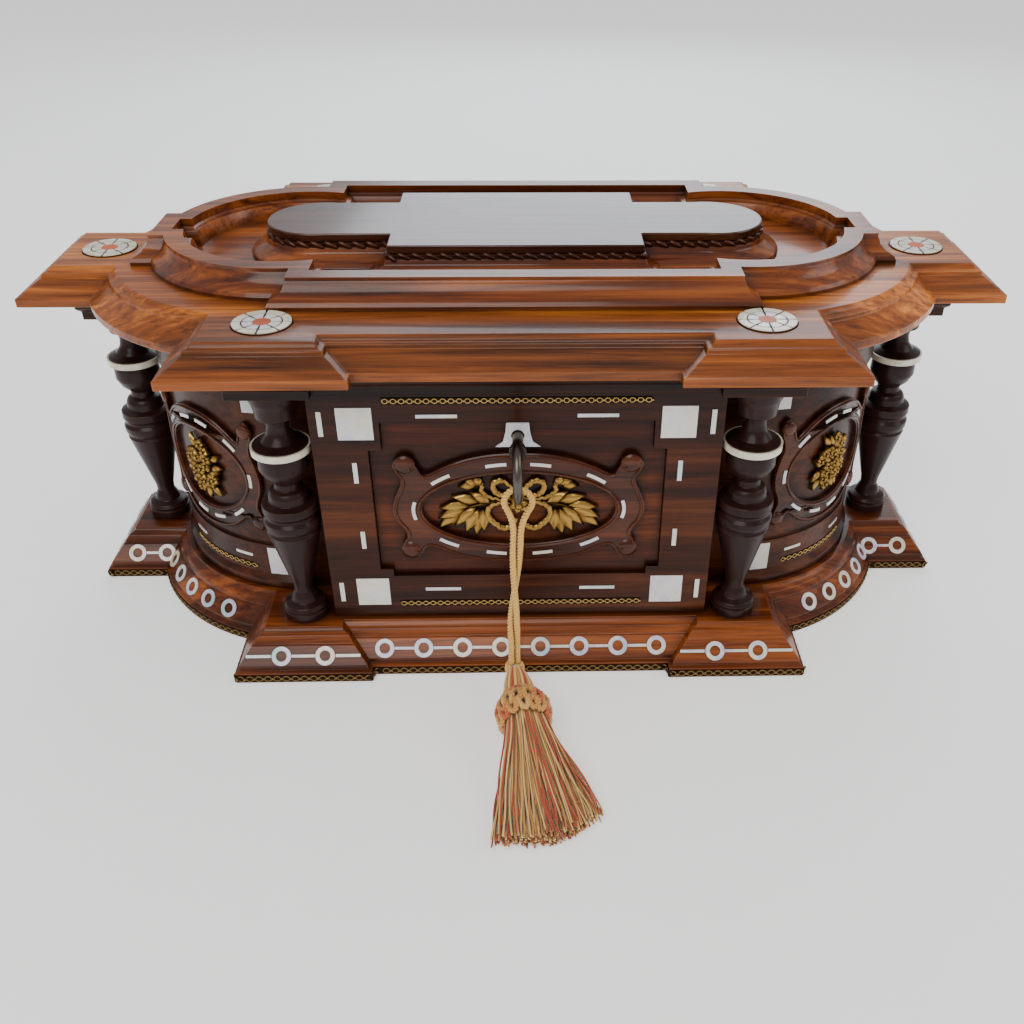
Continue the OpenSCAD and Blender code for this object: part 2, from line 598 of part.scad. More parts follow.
module along_tassel(y0) translate(tassel_at) rotate([0, 0, tassel_turn]) translate([0, -y0, 0]) children();
module tassel_knot() color("burlywood") translate(tassel_at) intersection() {
    sphere(r = knot_r, $fn = 32);
    box_at([-knot_r, -knot_r, -knot_r], [knot_r, knot_r, knot_r - 0.9]);
}
module tassel_head() color("peru") along_tassel(knot_r) rotate([90, 0, 0])
    translate([0, 1.5, 0]) cylinder(r1 = 4, r2 = 9.3, h = 18 - knot_r);
module tassel_collar() color("burlywood") along_tassel(18) translate([0, 0, 13.7 - tassel_at[2]])
    rotate([90, 0, 0]) rotate_extrude($fn = 48)
        polygon([[0, 0], [10.5, 0], [13.2, 3], [13.5, 8], [13.2, 13], [10.5, 16], [0, 16]]);
module tassel_skirt() color("peru") along_tassel(34) hull() {
    translate([0, 0, 13 - tassel_at[2]]) rotate([90, 0, 0]) cylinder(r = 10, h = 1, $fn = 32);
    translate([-24, -40, 0.2 - tassel_at[2]]) cube([50, 1, 15]);
    translate([-29, -62, 0.2 - tassel_at[2]]) rotate([0, 0, 6]) cube([56, 1, 8]);
}

// ---- hinges ----

module knuckles(which) for (i = which) translate([-hinge_w / 2 + i * knuckle_w + 0.05, 0, 0])
    rotate([0, 90, 0]) cylinder(r = knuckle_r, h = knuckle_w - 0.1);
module at_hinge() mirror_x() translate([hinge_x, hinge_y, hinge_z]) children();
module hinge_case_leaves() color("darkgoldenrod") at_hinge() difference() {
    union() {
        box_at([-hinge_w / 2, -24, -wood_gap - leaf_t], [hinge_w / 2, -knuckle_r - 0.2, -wood_gap]);
        for (i = [0, 2, 4]) box_at([-hinge_w / 2 + i * knuckle_w + 0.05, -knuckle_r - 1, -wood_gap - leaf_t],
                                   [-hinge_w / 2 + (i + 1) * knuckle_w - 0.05, -0.5, -wood_gap]);
        knuckles([0, 2, 4]);
    }
    translate([-hinge_w, 0, 0]) rotate([0, 90, 0]) cylinder(r = hinge_pin_r, h = 2 * hinge_w);
}
module hinge_pins() color("darkgoldenrod") at_hinge()
    rotate([0, 90, 0]) cylinder(r = hinge_pin_r, h = hinge_w, center = true);
module hinge_lid_leaves() color("darkgoldenrod") at_hinge() difference() {
    union() {
        box_at([-hinge_w / 2, -24, 0], [hinge_w / 2, -knuckle_r - 0.2, leaf_t]);
        for (i = [1, 3]) box_at([-hinge_w / 2 + i * knuckle_w + 0.05, -knuckle_r - 1, 0],
                                [-hinge_w / 2 + (i + 1) * knuckle_w - 0.05, -0.5, leaf_t]);
        knuckles([1, 3]);
    }
    translate([-hinge_w, 0, 0]) rotate([0, 90, 0]) cylinder(r = hinge_pin_r + run_gap, h = 2 * hinge_w);
}

// ---- lid ----

module lid_frame() color("sienna") difference() {
    translate([0, 0, case_h])
        casket_moulding(lid_w / 2, lid_d / 2, lid_r, lid_block_w, lid_break, lid_profile);
    translate([0, 0, case_h - 1]) linear_extrude(tier_h + 2) opening(lid_ledge);
    mirror_x() translate([hinge_x, hinge_y, case_h]) {
        box_at([-hinge_w / 2 - 0.3, -24.1, -1], [hinge_w / 2 + 0.3, 0, leaf_t]);
        box_at([-hinge_w / 2 - 0.3, -knuckle_r - 0.6, -1],
               [hinge_w / 2 + 0.3, knuckle_r + 0.6, knuckle_r + 0.6]);
    }
    box_at([-lock_hx, lock_y + 0.5, case_h - 1], [lock_hx, lock_y + lock_d - 1, case_h + leaf_t]);
    rosette_places() translate([0, 0, -1]) cylinder(r = rosette_r, h = 3);
}
module rosette_places() {
    for (sx = [-1, 1]) for (sy = [-1, 1]) translate([sx * end_x, sy * (rim_y + rosette_r), deck_z]) children();
    for (sx = [-1, 1]) translate([sx * (column_x - 1), 0, deck_z]) children();
}
module rosettes() color("ivory") rosette_places() translate([0, 0, -1])
    cylinder(r = rosette_r - 0.05, h = 1 + inlay_t);
module lid_panel() color("sienna") translate([0, 0, deck_z - lid_panel_t])
    linear_extrude(lid_panel_t) opening(lid_ledge + panel_gap);
module lid_lining() color("saddlebrown") translate([0, 0, deck_z - lid_panel_t - lining_t])
    linear_extrude(lining_t) opening(lid_ledge + panel_gap);
module gallery_rim() color("saddlebrown") translate([0, 0, deck_z]) difference() {
    rim_plan(rim_profile);
    rim_plan(rim_hole);
}
module pedestal() color("saddlebrown") translate([0, 0, deck_z]) plaque_plan(9, pedestal_profile);
module gadroon_edge() color([0.12, 0.08, 0.07]) translate([0, 0, deck_z + pedestal_h])
    plaque_plan(0.8, [[0, 0], [0, gadroon_h]]);
module plaque() color("sienna") translate([0, 0, plaque_z]) plaque_plan(0, [[0, 0], [0, plaque_t]]);

// ---- movement ----

module partitions() color("sienna") {
    mirror_x() box_at([part_x - part_t / 2, -open_hy + lock_d + 1, plinth_h],
                      [part_x + part_t / 2, open_hy - 0.1, plinth_h + part_h]);
    difference() {
        box_at([-part_x + part_t / 2, part_y - part_t / 2, plinth_h],
               [part_x - part_t / 2, part_y + part_t / 2, plinth_h + part_h]);
        box_at([lever_x - 3, part_y - part_t, mv + 2], [lever_x + 7, part_y + part_t, mv + 12]);
    }
    mirror_x() box_at([part_x - part_t / 2 - 3, part_y + part_t / 2, plinth_h + part_h - 6],
                      [part_x - part_t / 2, open_hy - 0.1, plinth_h + part_h - 3]);
}
module glass_cover() color("lightcyan", 0.4)
    box_at([-part_x + part_t / 2 + 0.1, part_y + part_t / 2 + 0.1, plinth_h + part_h - 3],
           [part_x - part_t / 2 - 0.1, open_hy - 0.2, plinth_h + part_h]);

module bedplate() color("goldenrod") difference() {
    union() {
        box_at([-64, 6, plate_z], [67, 84, mv]);
        for (x = [-58, 61]) for (y = [11, 79]) translate([x, y, plinth_h]) cylinder(r = 3.5, h = 4.5);
    }
    translate([barrel_x, axis_y, plinth_h]) cylinder(r = arbor_r + 1, h = 20);
}
module bearing_cock() color("goldenrod") difference() {
    x = drum_x - 4.5;
    union() {
        box_at([x, axis_y - 4, mv], [x + 3.5, axis_y + 4, axis_z]);
        translate([0, axis_y, axis_z]) disc_x(4, x, x + 3.5);
    }
    translate([0, axis_y, axis_z]) disc_x(1.5 + run_gap, x - 1, x + 5);
}
comb_z = axis_z - 1;                   // underside of the comb
comb_w = drum_len - 4;
tooth_pitch = comb_w / comb_teeth;
comb_tip = axis_y - drum_r - 0.8;
module comb_rail() color("darkgoldenrod") difference() {
    box_at([drum_x + 1, 12, mv], [drum_x + drum_len - 1, 24, comb_z]);
    for (i = [0:2]) translate([comb_screw_x(i), 18, comb_z - 8]) cylinder(r = 1.5, h = 9);
}
function comb_screw_x(i) = drum_x + drum_len / 2 + (i - 1) * drum_len * 0.36;
module music_comb() color("silver") difference() {
    box_at([drum_x + 2, 12, comb_z], [drum_x + drum_len - 2, comb_tip, comb_z + 2]);
    for (i = [1:comb_teeth - 1]) box_at([drum_x + 2 + i * tooth_pitch - 0.25, 26, comb_z - 1],
                                        [drum_x + 2 + i * tooth_pitch + 0.25, comb_tip + 1, comb_z + 3]);
    for (i = [0:2]) translate([comb_screw_x(i), 18, comb_z - 1]) cylinder(r = 1.5, h = 4);
}
module comb_screws() color([0.25, 0.3, 0.45])
for (i = [0:2]) translate([comb_screw_x(i), 18, comb_z]) difference() {
    union() {
        translate([0, 0, -6]) cylinder(r = 1.5, h = 8.1);
        translate([0, 0, 2]) cylinder(r = 3, h = 1.8);
    }
    box_at([-4, -0.4, 3], [4, 0.4, 5]);
}

module spring_barrel() color("goldenrod") translate([barrel_x, axis_y, mv]) difference() {
    union() {
        translate([0, 0, 0.5]) cylinder(r = barrel_r, h = crown_z - mv - 1.4);
        for (i = [0:crown_teeth - 1]) rotate([0, 0, (i + 0.5) * 360 / crown_teeth])
            translate([crown_r - 1, -0.18 * pitch, crown_z - mv - 1]) cube([2, 0.36 * pitch, 1.4]);
    }
    translate([0, 0, -1]) cylinder(r = arbor_r + run_gap, h = 20);
}
ratchet_z = crown_z + 1.2;
module winding_arbor() color("silver") translate([barrel_x, axis_y, 0]) {
    translate([0, 0, 6]) cylinder(r = arbor_r, h = axis_z + 1 - 6);
    translate([0, 0, ratchet_z - 1.6]) difference() {
        gear(16, 6.6, 2.59, 1.6, 0);
        translate([0, 0, -1]) cylinder(r = 0.5, h = 0.5);
    }
}
module winding_key() color("goldenrod") translate([barrel_x, axis_y, 0]) difference() {
    union() {
        translate([0, 0, 2.5]) cylinder(r = 4, h = board_z - 3.5);
        box_at([-12.5, -1, 2.5], [12.5, 1, board_z - 4]);
        for (s = [-1, 1]) translate([s * 9, 1, 7]) rotate([90, 0, 0]) cylinder(r = 4.5, h = 2);
    }
    translate([0, 0, 6]) cylinder(r = arbor_r, h = board_z);
}
module barrel_bridge() color("goldenrod") difference() {
    union() {
        box_at([barrel_x - 20, axis_y - 5, mv], [barrel_x - 15.5, axis_y + 5, ratchet_z + 3.5]);
        box_at([barrel_x - 20, axis_y - 5, ratchet_z + 0.6], [barrel_x + 4, axis_y + 5, ratchet_z + 3.5]);
    }
    translate([barrel_x, axis_y, mv]) cylinder(r = arbor_r + run_gap, h = 40);
}

module music_cylinder() color("goldenrod") translate([0, axis_y, axis_z]) {
    disc_x(drum_r, drum_x, drum_x + drum_len);
    disc_x(1.5, pinion_x - 2, plate_a + 2.4);
    translate([pinion_x - 1.8, 0, 0]) rotate([0, 90, 0]) gear(pinion_teeth, pinion_r, pitch, 3.6, 0);
    translate([great_x, 0, 0]) rotate([90, 0, 0]) rotate([0, 90, 0])
        gear(wheel_teeth, wheel_r, wheel_pitch, 3, 0);
}
module governor_wheel() color("goldenrod") translate([0, second_y, axis_z]) {
    disc_x(1, great_x - 1, plate_a + 11.4);
    translate([great_x, 0, 0]) rotate([180 / pinion_teeth, 0, 0]) rotate([90, 0, 0]) rotate([0, 90, 0])
        gear(pinion_teeth, small_r, wheel_pitch, 3, 0);
    translate([worm_x - 1.25, 0, 0]) rotate([90, 0, 0]) rotate([0, 90, 0])
        gear(wheel_teeth, wheel_r, wheel_pitch, 2.5, 0);
}
module governor_frame() color("darkgoldenrod") difference() {
    union() {
        box_at([plate_a, axis_y - 5, mv], [plate_a + 2, worm_y + 4, axis_z + 5]);
        box_at([plate_a + 9, second_y - 5, mv], [plate_a + 11, worm_y + 4, axis_z + 5]);
        box_at([plate_a, worm_y - 3, mv], [plate_a + 11, worm_y + 4, mv + 2.5]);
        box_at([plate_a, worm_y - 3, axis_z + 10], [plate_a + 11, worm_y + 4, axis_z + 12.5]);
        box_at([plate_a, worm_y + 2, mv], [plate_a + 11, worm_y + 4, axis_z + 12.5]);
    }
    translate([0, axis_y, axis_z]) disc_x(1.5 + run_gap, plate_a - 1, plate_a + 3);
    translate([0, second_y, axis_z]) disc_x(1 + run_gap, plate_a - 1, plate_a + 12);
    translate([worm_x, worm_y, mv + 1]) cylinder(r = 0.8 + run_gap, h = 40);
}
module governor_fly() color("silver") translate([worm_x, worm_y, 0]) {
    translate([0, 0, mv + 1.2]) cylinder(r = 0.8, h = fly_z + 9 - mv - 1.2);
    translate([0, 0, axis_z - 7]) cylinder(r = worm_r, h = 14);
    translate([0, 0, fly_z]) for (t = [45, 135]) rotate([0, 0, t])
        translate([-7, -0.3, 0]) cube([14, 0.6, 8]);
}
module stop_lever() color("silver") translate([lever_x, lever_y, mv]) {
    translate([0, 0, 0.1]) cylinder(r = 3, h = 5.9);
    box_at([-1.5, -lever_front, 3], [1.5, lever_back, 6]);
    translate([0, -lever_front, 0.5]) cylinder(r = 3, h = 9);
    box_at([-1.5, lever_back - 3, 3], [1.5, lever_back, fly_z + 5 - mv]);
}

for (i = [0:5]) column(COLUMN_AT[i]);
plinth_frame();
base_board();
front_frame();
front_panel();
back_frame();
back_panel();
end_wall(-1);  // end_wall_left
end_wall(1);  // end_wall_right
cornice();
column_pearl_rings();
plinth_pearl();
plinth_brass_band();
wall_pearl();
wall_brass_strips();
cartouches();
gilt_mounts();
escutcheon();
lock_case();
lock_bolt();
link_plate();
lock_key();
key_cord_loop();
key_cord();
tassel_knot();
tassel_head();
tassel_collar();
tassel_skirt();
hinge_case_leaves();
hinge_pins();
hinge_lid_leaves();
lid_frame();
lid_panel();
lid_lining();
gallery_rim();
pedestal();
gadroon_edge();
plaque();
rosettes();
partitions();
glass_cover();
bedplate();
bearing_cock();
comb_rail();
music_comb();
comb_screws();
barrel_bridge();
spring_barrel();
winding_arbor();
winding_key();
music_cylinder();
governor_frame();
governor_wheel();
governor_fly();
stop_lever();
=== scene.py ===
"""Looks of a rosewood musical casket: polished mouldings, ebonised columns, pearl and brass inlay,
gilt laurel mounts, a key on a twisted rope with its tassel, and a brass movement inside."""

import json
import math
import random
from functools import partial

import bmesh
import bpy
from mathutils import Matrix, Vector
from mathutils.geometry import tessellate_polygon
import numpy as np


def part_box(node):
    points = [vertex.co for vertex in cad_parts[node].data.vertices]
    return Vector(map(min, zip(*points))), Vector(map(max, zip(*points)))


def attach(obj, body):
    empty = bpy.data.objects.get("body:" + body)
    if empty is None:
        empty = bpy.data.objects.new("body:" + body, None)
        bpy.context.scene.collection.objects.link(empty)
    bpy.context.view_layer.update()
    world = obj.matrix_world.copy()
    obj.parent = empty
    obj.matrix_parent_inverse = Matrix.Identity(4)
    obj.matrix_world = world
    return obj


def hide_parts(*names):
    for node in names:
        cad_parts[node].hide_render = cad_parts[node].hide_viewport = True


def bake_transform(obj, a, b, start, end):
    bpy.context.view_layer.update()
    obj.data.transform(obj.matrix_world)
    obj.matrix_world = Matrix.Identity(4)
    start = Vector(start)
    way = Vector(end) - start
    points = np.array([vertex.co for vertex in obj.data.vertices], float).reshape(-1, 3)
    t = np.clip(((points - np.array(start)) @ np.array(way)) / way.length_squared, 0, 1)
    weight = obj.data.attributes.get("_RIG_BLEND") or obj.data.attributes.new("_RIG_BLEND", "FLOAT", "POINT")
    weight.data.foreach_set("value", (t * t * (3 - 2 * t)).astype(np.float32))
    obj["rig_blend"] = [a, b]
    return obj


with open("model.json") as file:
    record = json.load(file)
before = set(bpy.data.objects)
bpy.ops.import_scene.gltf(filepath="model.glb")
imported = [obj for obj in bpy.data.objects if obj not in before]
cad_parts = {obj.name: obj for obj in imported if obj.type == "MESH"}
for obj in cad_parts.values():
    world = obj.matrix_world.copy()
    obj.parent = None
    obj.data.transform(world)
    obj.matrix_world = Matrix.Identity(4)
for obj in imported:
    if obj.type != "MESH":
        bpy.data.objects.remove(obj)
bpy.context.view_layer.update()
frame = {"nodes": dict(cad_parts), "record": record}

bl_info = {
    "name": "Rosewood musical casket",
    "version": (1, 0, 0),
    "blender": (4, 5, 0),
    "location": "View3D > Sidebar > Casket",
    "description": "Builds the finishes, inlay, cord and tassel of a rosewood musical casket",
    "category": "Object",
}

MM = 0.001
NODES = frame["nodes"]
BODY_OF = {node: body for body, members in frame["record"]["behaviour"]["bodies"].items()
           for node in members}
SLOT_OF = {row["node"]: row["material_slot"] for row in frame["record"]["subparts"]}


# ---------------------------------------------------------------- places, from the frame

def middle(node):
    low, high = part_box(node)
    return (low + high) / 2


def joint_height(name):
    """Height of a joint's axis"""
    for joint in frame["record"]["behaviour"]["joints"]:
        if joint["name"] == name:
            return joint["pos_m"][2]
    raise RuntimeError("the record has no joint " + name)


def turns(count):
    """Even angles round a circle"""
    return [math.tau * k / count for k in range(count)]


PLINTH_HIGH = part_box("plinth_frame")[1]
END_X = middle("column_front_right").x          # middle of each round end
PANEL_Y = -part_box("front_panel")[0].y           # face of the sunk panel
OVAL_Z = middle("cartouches").z
STRAP_THICK = -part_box("cartouches")[0].y - PANEL_Y      # of the front strapwork, from the panel
END_STRAP_THICK = 2.6 * MM                      # of the end walls' strapwork
END_WALL_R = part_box("end_wall_right")[1].x - END_X - 4 * MM
BOW_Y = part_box("lock_key")[0].y + 14 * MM       # middle of the key's ring
DRUM_R = 9.5 * MM                               # radius of the music cylinder


# ---------------------------------------------------------------- settings

class CasketWoods(bpy.types.PropertyGroup):
    """Colours of the polished woods"""
    lit: bpy.props.FloatVectorProperty(name="Light streak", subtype="COLOR", size=3,
        default=(0.78, 0.25, 0.035), description="Lightest grain of the rosewood mouldings")
    warm: bpy.props.FloatVectorProperty(name="Ground", subtype="COLOR", size=3,
        default=(0.30, 0.075, 0.011), description="Main colour of the rosewood mouldings")
    vein: bpy.props.FloatVectorProperty(name="Vein", subtype="COLOR", size=3,
        default=(0.016, 0.004, 0.002), description="Dark veins in the rosewood")
    ebony: bpy.props.FloatVectorProperty(name="Ebonised", subtype="COLOR", size=3,
        default=(0.011, 0.004, 0.0035), description="Stained black of the turned columns")
    edge: bpy.props.FloatProperty(name="Rounded edge", default=0.35 * MM, unit="LENGTH",
        description="Radius that wear and polish give to a moulding's edges")


class CasketInlay(bpy.types.PropertyGroup):
    """Pearl, brass and gilding"""
    pearl: bpy.props.FloatVectorProperty(name="Pearl", subtype="COLOR", size=3,
        default=(0.72, 0.73, 0.70), description="Ground colour of the shell")
    gilt: bpy.props.FloatVectorProperty(name="Gilding", subtype="COLOR", size=3,
        default=(0.42, 0.25, 0.065), description="Bright gilding on the mounts")
    brass: bpy.props.FloatVectorProperty(name="Brass", subtype="COLOR", size=3,
        default=(0.62, 0.42, 0.16), description="Brass of the ribbons and the movement")
    link: bpy.props.FloatProperty(name="Ribbon pitch", default=4.4 * MM, unit="LENGTH",
        description="Distance from one ring of a stamped ribbon to the next")
    gadroon: bpy.props.FloatProperty(name="Gadroon pitch", default=6.4 * MM, unit="LENGTH",
        description="Distance from one carved lobe under the plaque to the next")


class CasketCord(bpy.types.PropertyGroup):
    """Rope and tassel"""
    rope: bpy.props.FloatVectorProperty(name="Rope", subtype="COLOR", size=3,
        default=(0.84, 0.49, 0.10), description="Colour of the twisted rope")
    cream: bpy.props.FloatVectorProperty(name="Cream yarn", subtype="COLOR", size=3,
        default=(0.88, 0.56, 0.18), description="Lightest yarn of the tassel")
    gold: bpy.props.FloatVectorProperty(name="Gold yarn", subtype="COLOR", size=3,
        default=(0.64, 0.30, 0.06), description="Middle yarn of the tassel")
    rust: bpy.props.FloatVectorProperty(name="Terracotta yarn", subtype="COLOR", size=3,
        default=(0.50, 0.07, 0.02), description="Darkest yarn of the tassel")
    strands: bpy.props.IntProperty(name="Strands", default=640, min=60, max=900,
        description="Number of yarns in the skirt")
    seed: bpy.props.IntProperty(name="Seed", default=11,
        description="Seed of the yarns' waves and lengths")


class CasketStage(bpy.types.PropertyGroup):
    """Camera and light"""
    lens: bpy.props.FloatProperty(name="Lens", default=37.02, description="Focal length in mm")
    key: bpy.props.FloatProperty(name="Key light", default=13.0, unit="POWER",
        description="Power of the large soft light in front")
    back: bpy.props.FloatProperty(name="Window light", default=10.0, unit="POWER",
        description="Power of the light behind, which glazes the top")


# ---------------------------------------------------------------- shader sheets

class Wire:
    """A socket that can be used in sums"""

    def __init__(self, sheet, socket):
        self.sheet, self.socket = sheet, socket

    def _math(self, operation, *others, swap=False):
        values = [self, *others]
        if swap:
            values.reverse()
        return self.sheet.node("ShaderNodeMath", {"operation": operation}, values)

    def __add__(self, other):
        return self._math("ADD", other)

    def __radd__(self, other):
        return self._math("ADD", other)

    def __sub__(self, other):
        return self._math("SUBTRACT", other)

    def __rsub__(self, other):
        return self._math("SUBTRACT", other, swap=True)

    def __mul__(self, other):
        return self._math("MULTIPLY", other)

    def __rmul__(self, other):
        return self._math("MULTIPLY", other)

    def __pow__(self, other):
        return self._math("POWER", other)

    def clamped(self):
        held = self._math("ADD", 0.0)
        held.socket.node.use_clamp = True
        return held


class Sheet:
    """One material's nodes"""

    def __init__(self, name):
        self.material = bpy.data.materials.new(name)
        self.material.use_nodes = True
        self.tree = self.material.node_tree
        self.shader = self.tree.nodes["Principled BSDF"]
        self.place = self.node("ShaderNodeTexCoord", out="Object")

    def node(self, kind, settings=None, values=(), out=0):
        """Adds a node: settings first, then its sockets' values or links, by place or by name"""
        made = self.tree.nodes.new(kind)
        for key, value in (settings or {}).items():
            if key == "stops":
                ramp = made.color_ramp
                while len(ramp.elements) < len(value):
                    ramp.elements.new(0.5)
                for stop, (at, colour) in zip(ramp.elements, value):
                    stop.position, stop.color = at, (*colour, 1)
            else:
                setattr(made, key, value)
        pairs = values.items() if isinstance(values, dict) else enumerate(values)
        for key, value in pairs:
            self.feed(made.inputs[key], value)
        return Wire(self, made.outputs[out])

    def feed(self, socket, value):
        if isinstance(value, Wire):
            self.tree.links.new(value.socket, socket)
        elif hasattr(socket.default_value, "__len__") and len(socket.default_value) == 4:
            socket.default_value = (*value[:3], 1)
        else:
            socket.default_value = value

    def set(self, **values):
        """Sets or links the shader's own sockets"""
        for key, value in values.items():
            self.feed(self.shader.inputs[key.replace("_", " ")], value)

    def stretched(self, scale):
        return self.node("ShaderNodeMapping", None, {"Vector": self.place, "Scale": scale})

    def noise(self, at, scale, detail=4.0, roughness=0.55, distortion=0.0):
        return self.node("ShaderNodeTexNoise", None,
                         {"Vector": at, "Scale": scale, "Detail": detail, "Roughness": roughness,
                          "Distortion": distortion})

    def cells(self, at, scale, out="Color"):
        return self.node("ShaderNodeTexVoronoi", None, {"Vector": at, "Scale": scale}, out)

    def ramp(self, factor, stops):
        return self.node("ShaderNodeValToRGB", {"stops": stops}, [factor])

    def mix(self, factor, a, b, blend="MIX"):
        made = self.tree.nodes.new("ShaderNodeMix")
        made.data_type, made.blend_type = "RGBA", blend
        for key, value in ((0, factor), (6, a), (7, b)):
            self.feed(made.inputs[key], value)
        return Wire(self, made.outputs[2])

    def nearness(self, distance, inside=False):
        """Ambient occlusion, used to paint light and shade into colours: 1 in the open and lower in hollows;
        with inside, lower along outer edges
        """
        return self.node("ShaderNodeAmbientOcclusion", {"samples": 5, "inside": inside,
                         "only_local": inside}, {"Distance": distance}, "AO")

    def bump(self, height, strength, distance):
        self.set(Normal=self.node("ShaderNodeBump", None,
                 {"Height": height, "Strength": strength, "Distance": distance}))


def rosewood(name, along, lift, gloss=0.24, coat=0.3):
    """Polished rosewood: streaks and veins along one axis, painted shade in its hollows, and lighter outer
    edges, partly wear and partly a painted highlight
    """
    woods = bpy.context.scene.casket_woods
    s = Sheet(name)
    long, across = 6.0, 150.0
    scale = {"X": (long, across, across), "Y": (across, long, across),
             "Z": (across, across, long)}[along]
    at = s.stretched(scale)
    figure = s.noise(s.stretched([c * 0.12 for c in scale]), 1.0, 4.0, 0.6, 1.2)
    streak = s.noise(at, 1.0, 8.0, 0.66, 0.6)
    vein = s.noise(at, 2.2, 6.0, 0.7, 0.3)
    pore = s.noise(s.stretched([c * (4 if c == long else 6) for c in scale]), 1.0, 3.0, 0.6)
    tone = (streak * 0.62 + figure * 0.75 - 0.17).clamped()
    ground = s.ramp(tone, [(0.28, woods.vein), (0.40, [c * 0.5 for c in woods.warm]),
                           (0.50, woods.warm), (0.64, woods.lit)])
    dark_line = ((vein - 0.53).clamped() * 5.0 + (pore - 0.58).clamped() * 3.5).clamped()
    colour = s.mix(dark_line * 0.85, ground, woods.vein)
    shade = (lift,) * 3 if isinstance(lift, float) else lift
    colour = s.mix(1.0, colour, shade, "MULTIPLY")
    # painted shade: the colour darkens towards the near-black vein colour in hollows, by ambient occlusion
    hollow_shade = s.nearness(7 * MM) ** 1.6
    colour = s.mix(hollow_shade, [c * 0.2 for c in woods.vein], colour)
    # lighter outer edges, towards the light streak colour: partly rubbed wear, partly a painted highlight
    edge = ((1 - s.nearness(0.9 * MM, True)) * 0.6).clamped()
    colour = s.mix(edge, colour, [c * 0.8 * part for c, part in zip(woods.lit, shade)])
    s.set(Base_Color=colour, Roughness=gloss + pore * 0.2, Coat_Weight=coat,
          Coat_Roughness=0.12, IOR=1.45, Specular_IOR_Level=0.2)
    s.bump(pore + streak * 0.5, 0.35, 0.18 * MM)
    return s.material


def ebonised(name):
    """Stained and polished black, brown where the light strikes"""
    woods = bpy.context.scene.casket_woods
    s = Sheet(name)
    grain = s.noise(s.stretched((120, 120, 9)), 1.0, 5.0)
    colour = s.mix((grain * 1.7 - 0.5).clamped(), woods.ebony, [c * 3.2 for c in woods.ebony])
    # painted highlight: lighter brown along the outer edges, where the light strikes
    painted_edge_highlight = ((1 - s.nearness(0.8 * MM, True)) * 0.5).clamped()
    colour = s.mix(painted_edge_highlight, colour, [c * 0.30 for c in woods.lit])
    s.set(Base_Color=colour, Roughness=0.25 + grain * 0.16, Coat_Weight=0.1,
          Coat_Roughness=0.1, Specular_IOR_Level=0.16)
    s.bump(grain, 0.2, 0.15 * MM)
    return s.material


def pearl(name, white=0.35):
    """Shell: each piece with its own tint, in thin waving layers"""
    inlay = bpy.context.scene.casket_inlay
    s = Sheet(name)
    layers = s.noise(s.stretched((60, 60, 90)), 1.5, 5.0, 0.6, 1.8)
    piece = s.noise(s.place, 31.0, 1.0)
    hue = (layers * 0.55 + piece * 0.75 - 0.15).clamped()
    play = s.ramp(hue, [(0.30, (0.16, 0.56, 0.52)), (0.42, (0.55, 0.44, 0.62)), (0.50, (0.74, 0.72, 0.68)),
                        (0.60, (0.70, 0.58, 0.34)), (0.72, (0.34, 0.52, 0.70))])
    colour = s.mix(white + 0.25, play, inlay.pearl)
    crack = s.cells(s.place, 260.0, "Distance")
    s.set(Base_Color=colour, Roughness=0.16 + layers * 0.12, Coat_Weight=0.7,
          Coat_Roughness=0.05, IOR=1.56)
    s.bump(layers + crack * 0.1, 0.12, 0.1 * MM)
    return s.material


def bone(name):
    """Cream shell of the rosette petals"""
    s = Sheet(name)
    cloud = s.noise(s.place, 160.0, 4.0)
    colour = s.ramp(cloud, [(0.3, (0.58, 0.53, 0.38)), (0.55, (0.74, 0.70, 0.54)), (0.7, (0.76, 0.75, 0.66))])
    s.set(Base_Color=colour, Roughness=0.2 + cloud * 0.15, Coat_Weight=0.5, Coat_Roughness=0.08)
    s.bump(cloud, 0.1, 0.1 * MM)
    return s.material


def metal(name, bright, dark, gloss, hollow_by=3 * MM, grain=(400, 400, 400)):
    """Metal: its bright colour in the open, with painted shade, patchy, in its hollows"""
    s = Sheet(name)
    cloud = s.noise(s.stretched(grain), 1.0, 5.0, 0.6)
    wide = s.noise(s.place, 60.0, 3.0)
    # painted shade: the colour goes to the dark one in hollows, by ambient occlusion, made patchy by a wide
    # noise
    out_of_shade = (s.nearness(hollow_by) ** 2.2 * (0.7 + wide * 0.6)).clamped()
    colour = s.mix(out_of_shade, dark, bright)
    s.set(Base_Color=colour, Metallic=1.0, Roughness=gloss + cloud * 0.18 + (1 - out_of_shade) * 0.2)
    s.bump(cloud, 0.15, 0.1 * MM)
    return s.material


def glass(name):
    """Clear glass with a faint haze"""
    s = Sheet(name)
    haze = s.noise(s.place, 25.0, 4.0)
    s.set(Base_Color=(0.93, 0.97, 0.95), Roughness=0.02 + haze * 0.05, IOR=1.5, Alpha=0.22 + haze * 0.06)
    return s.material


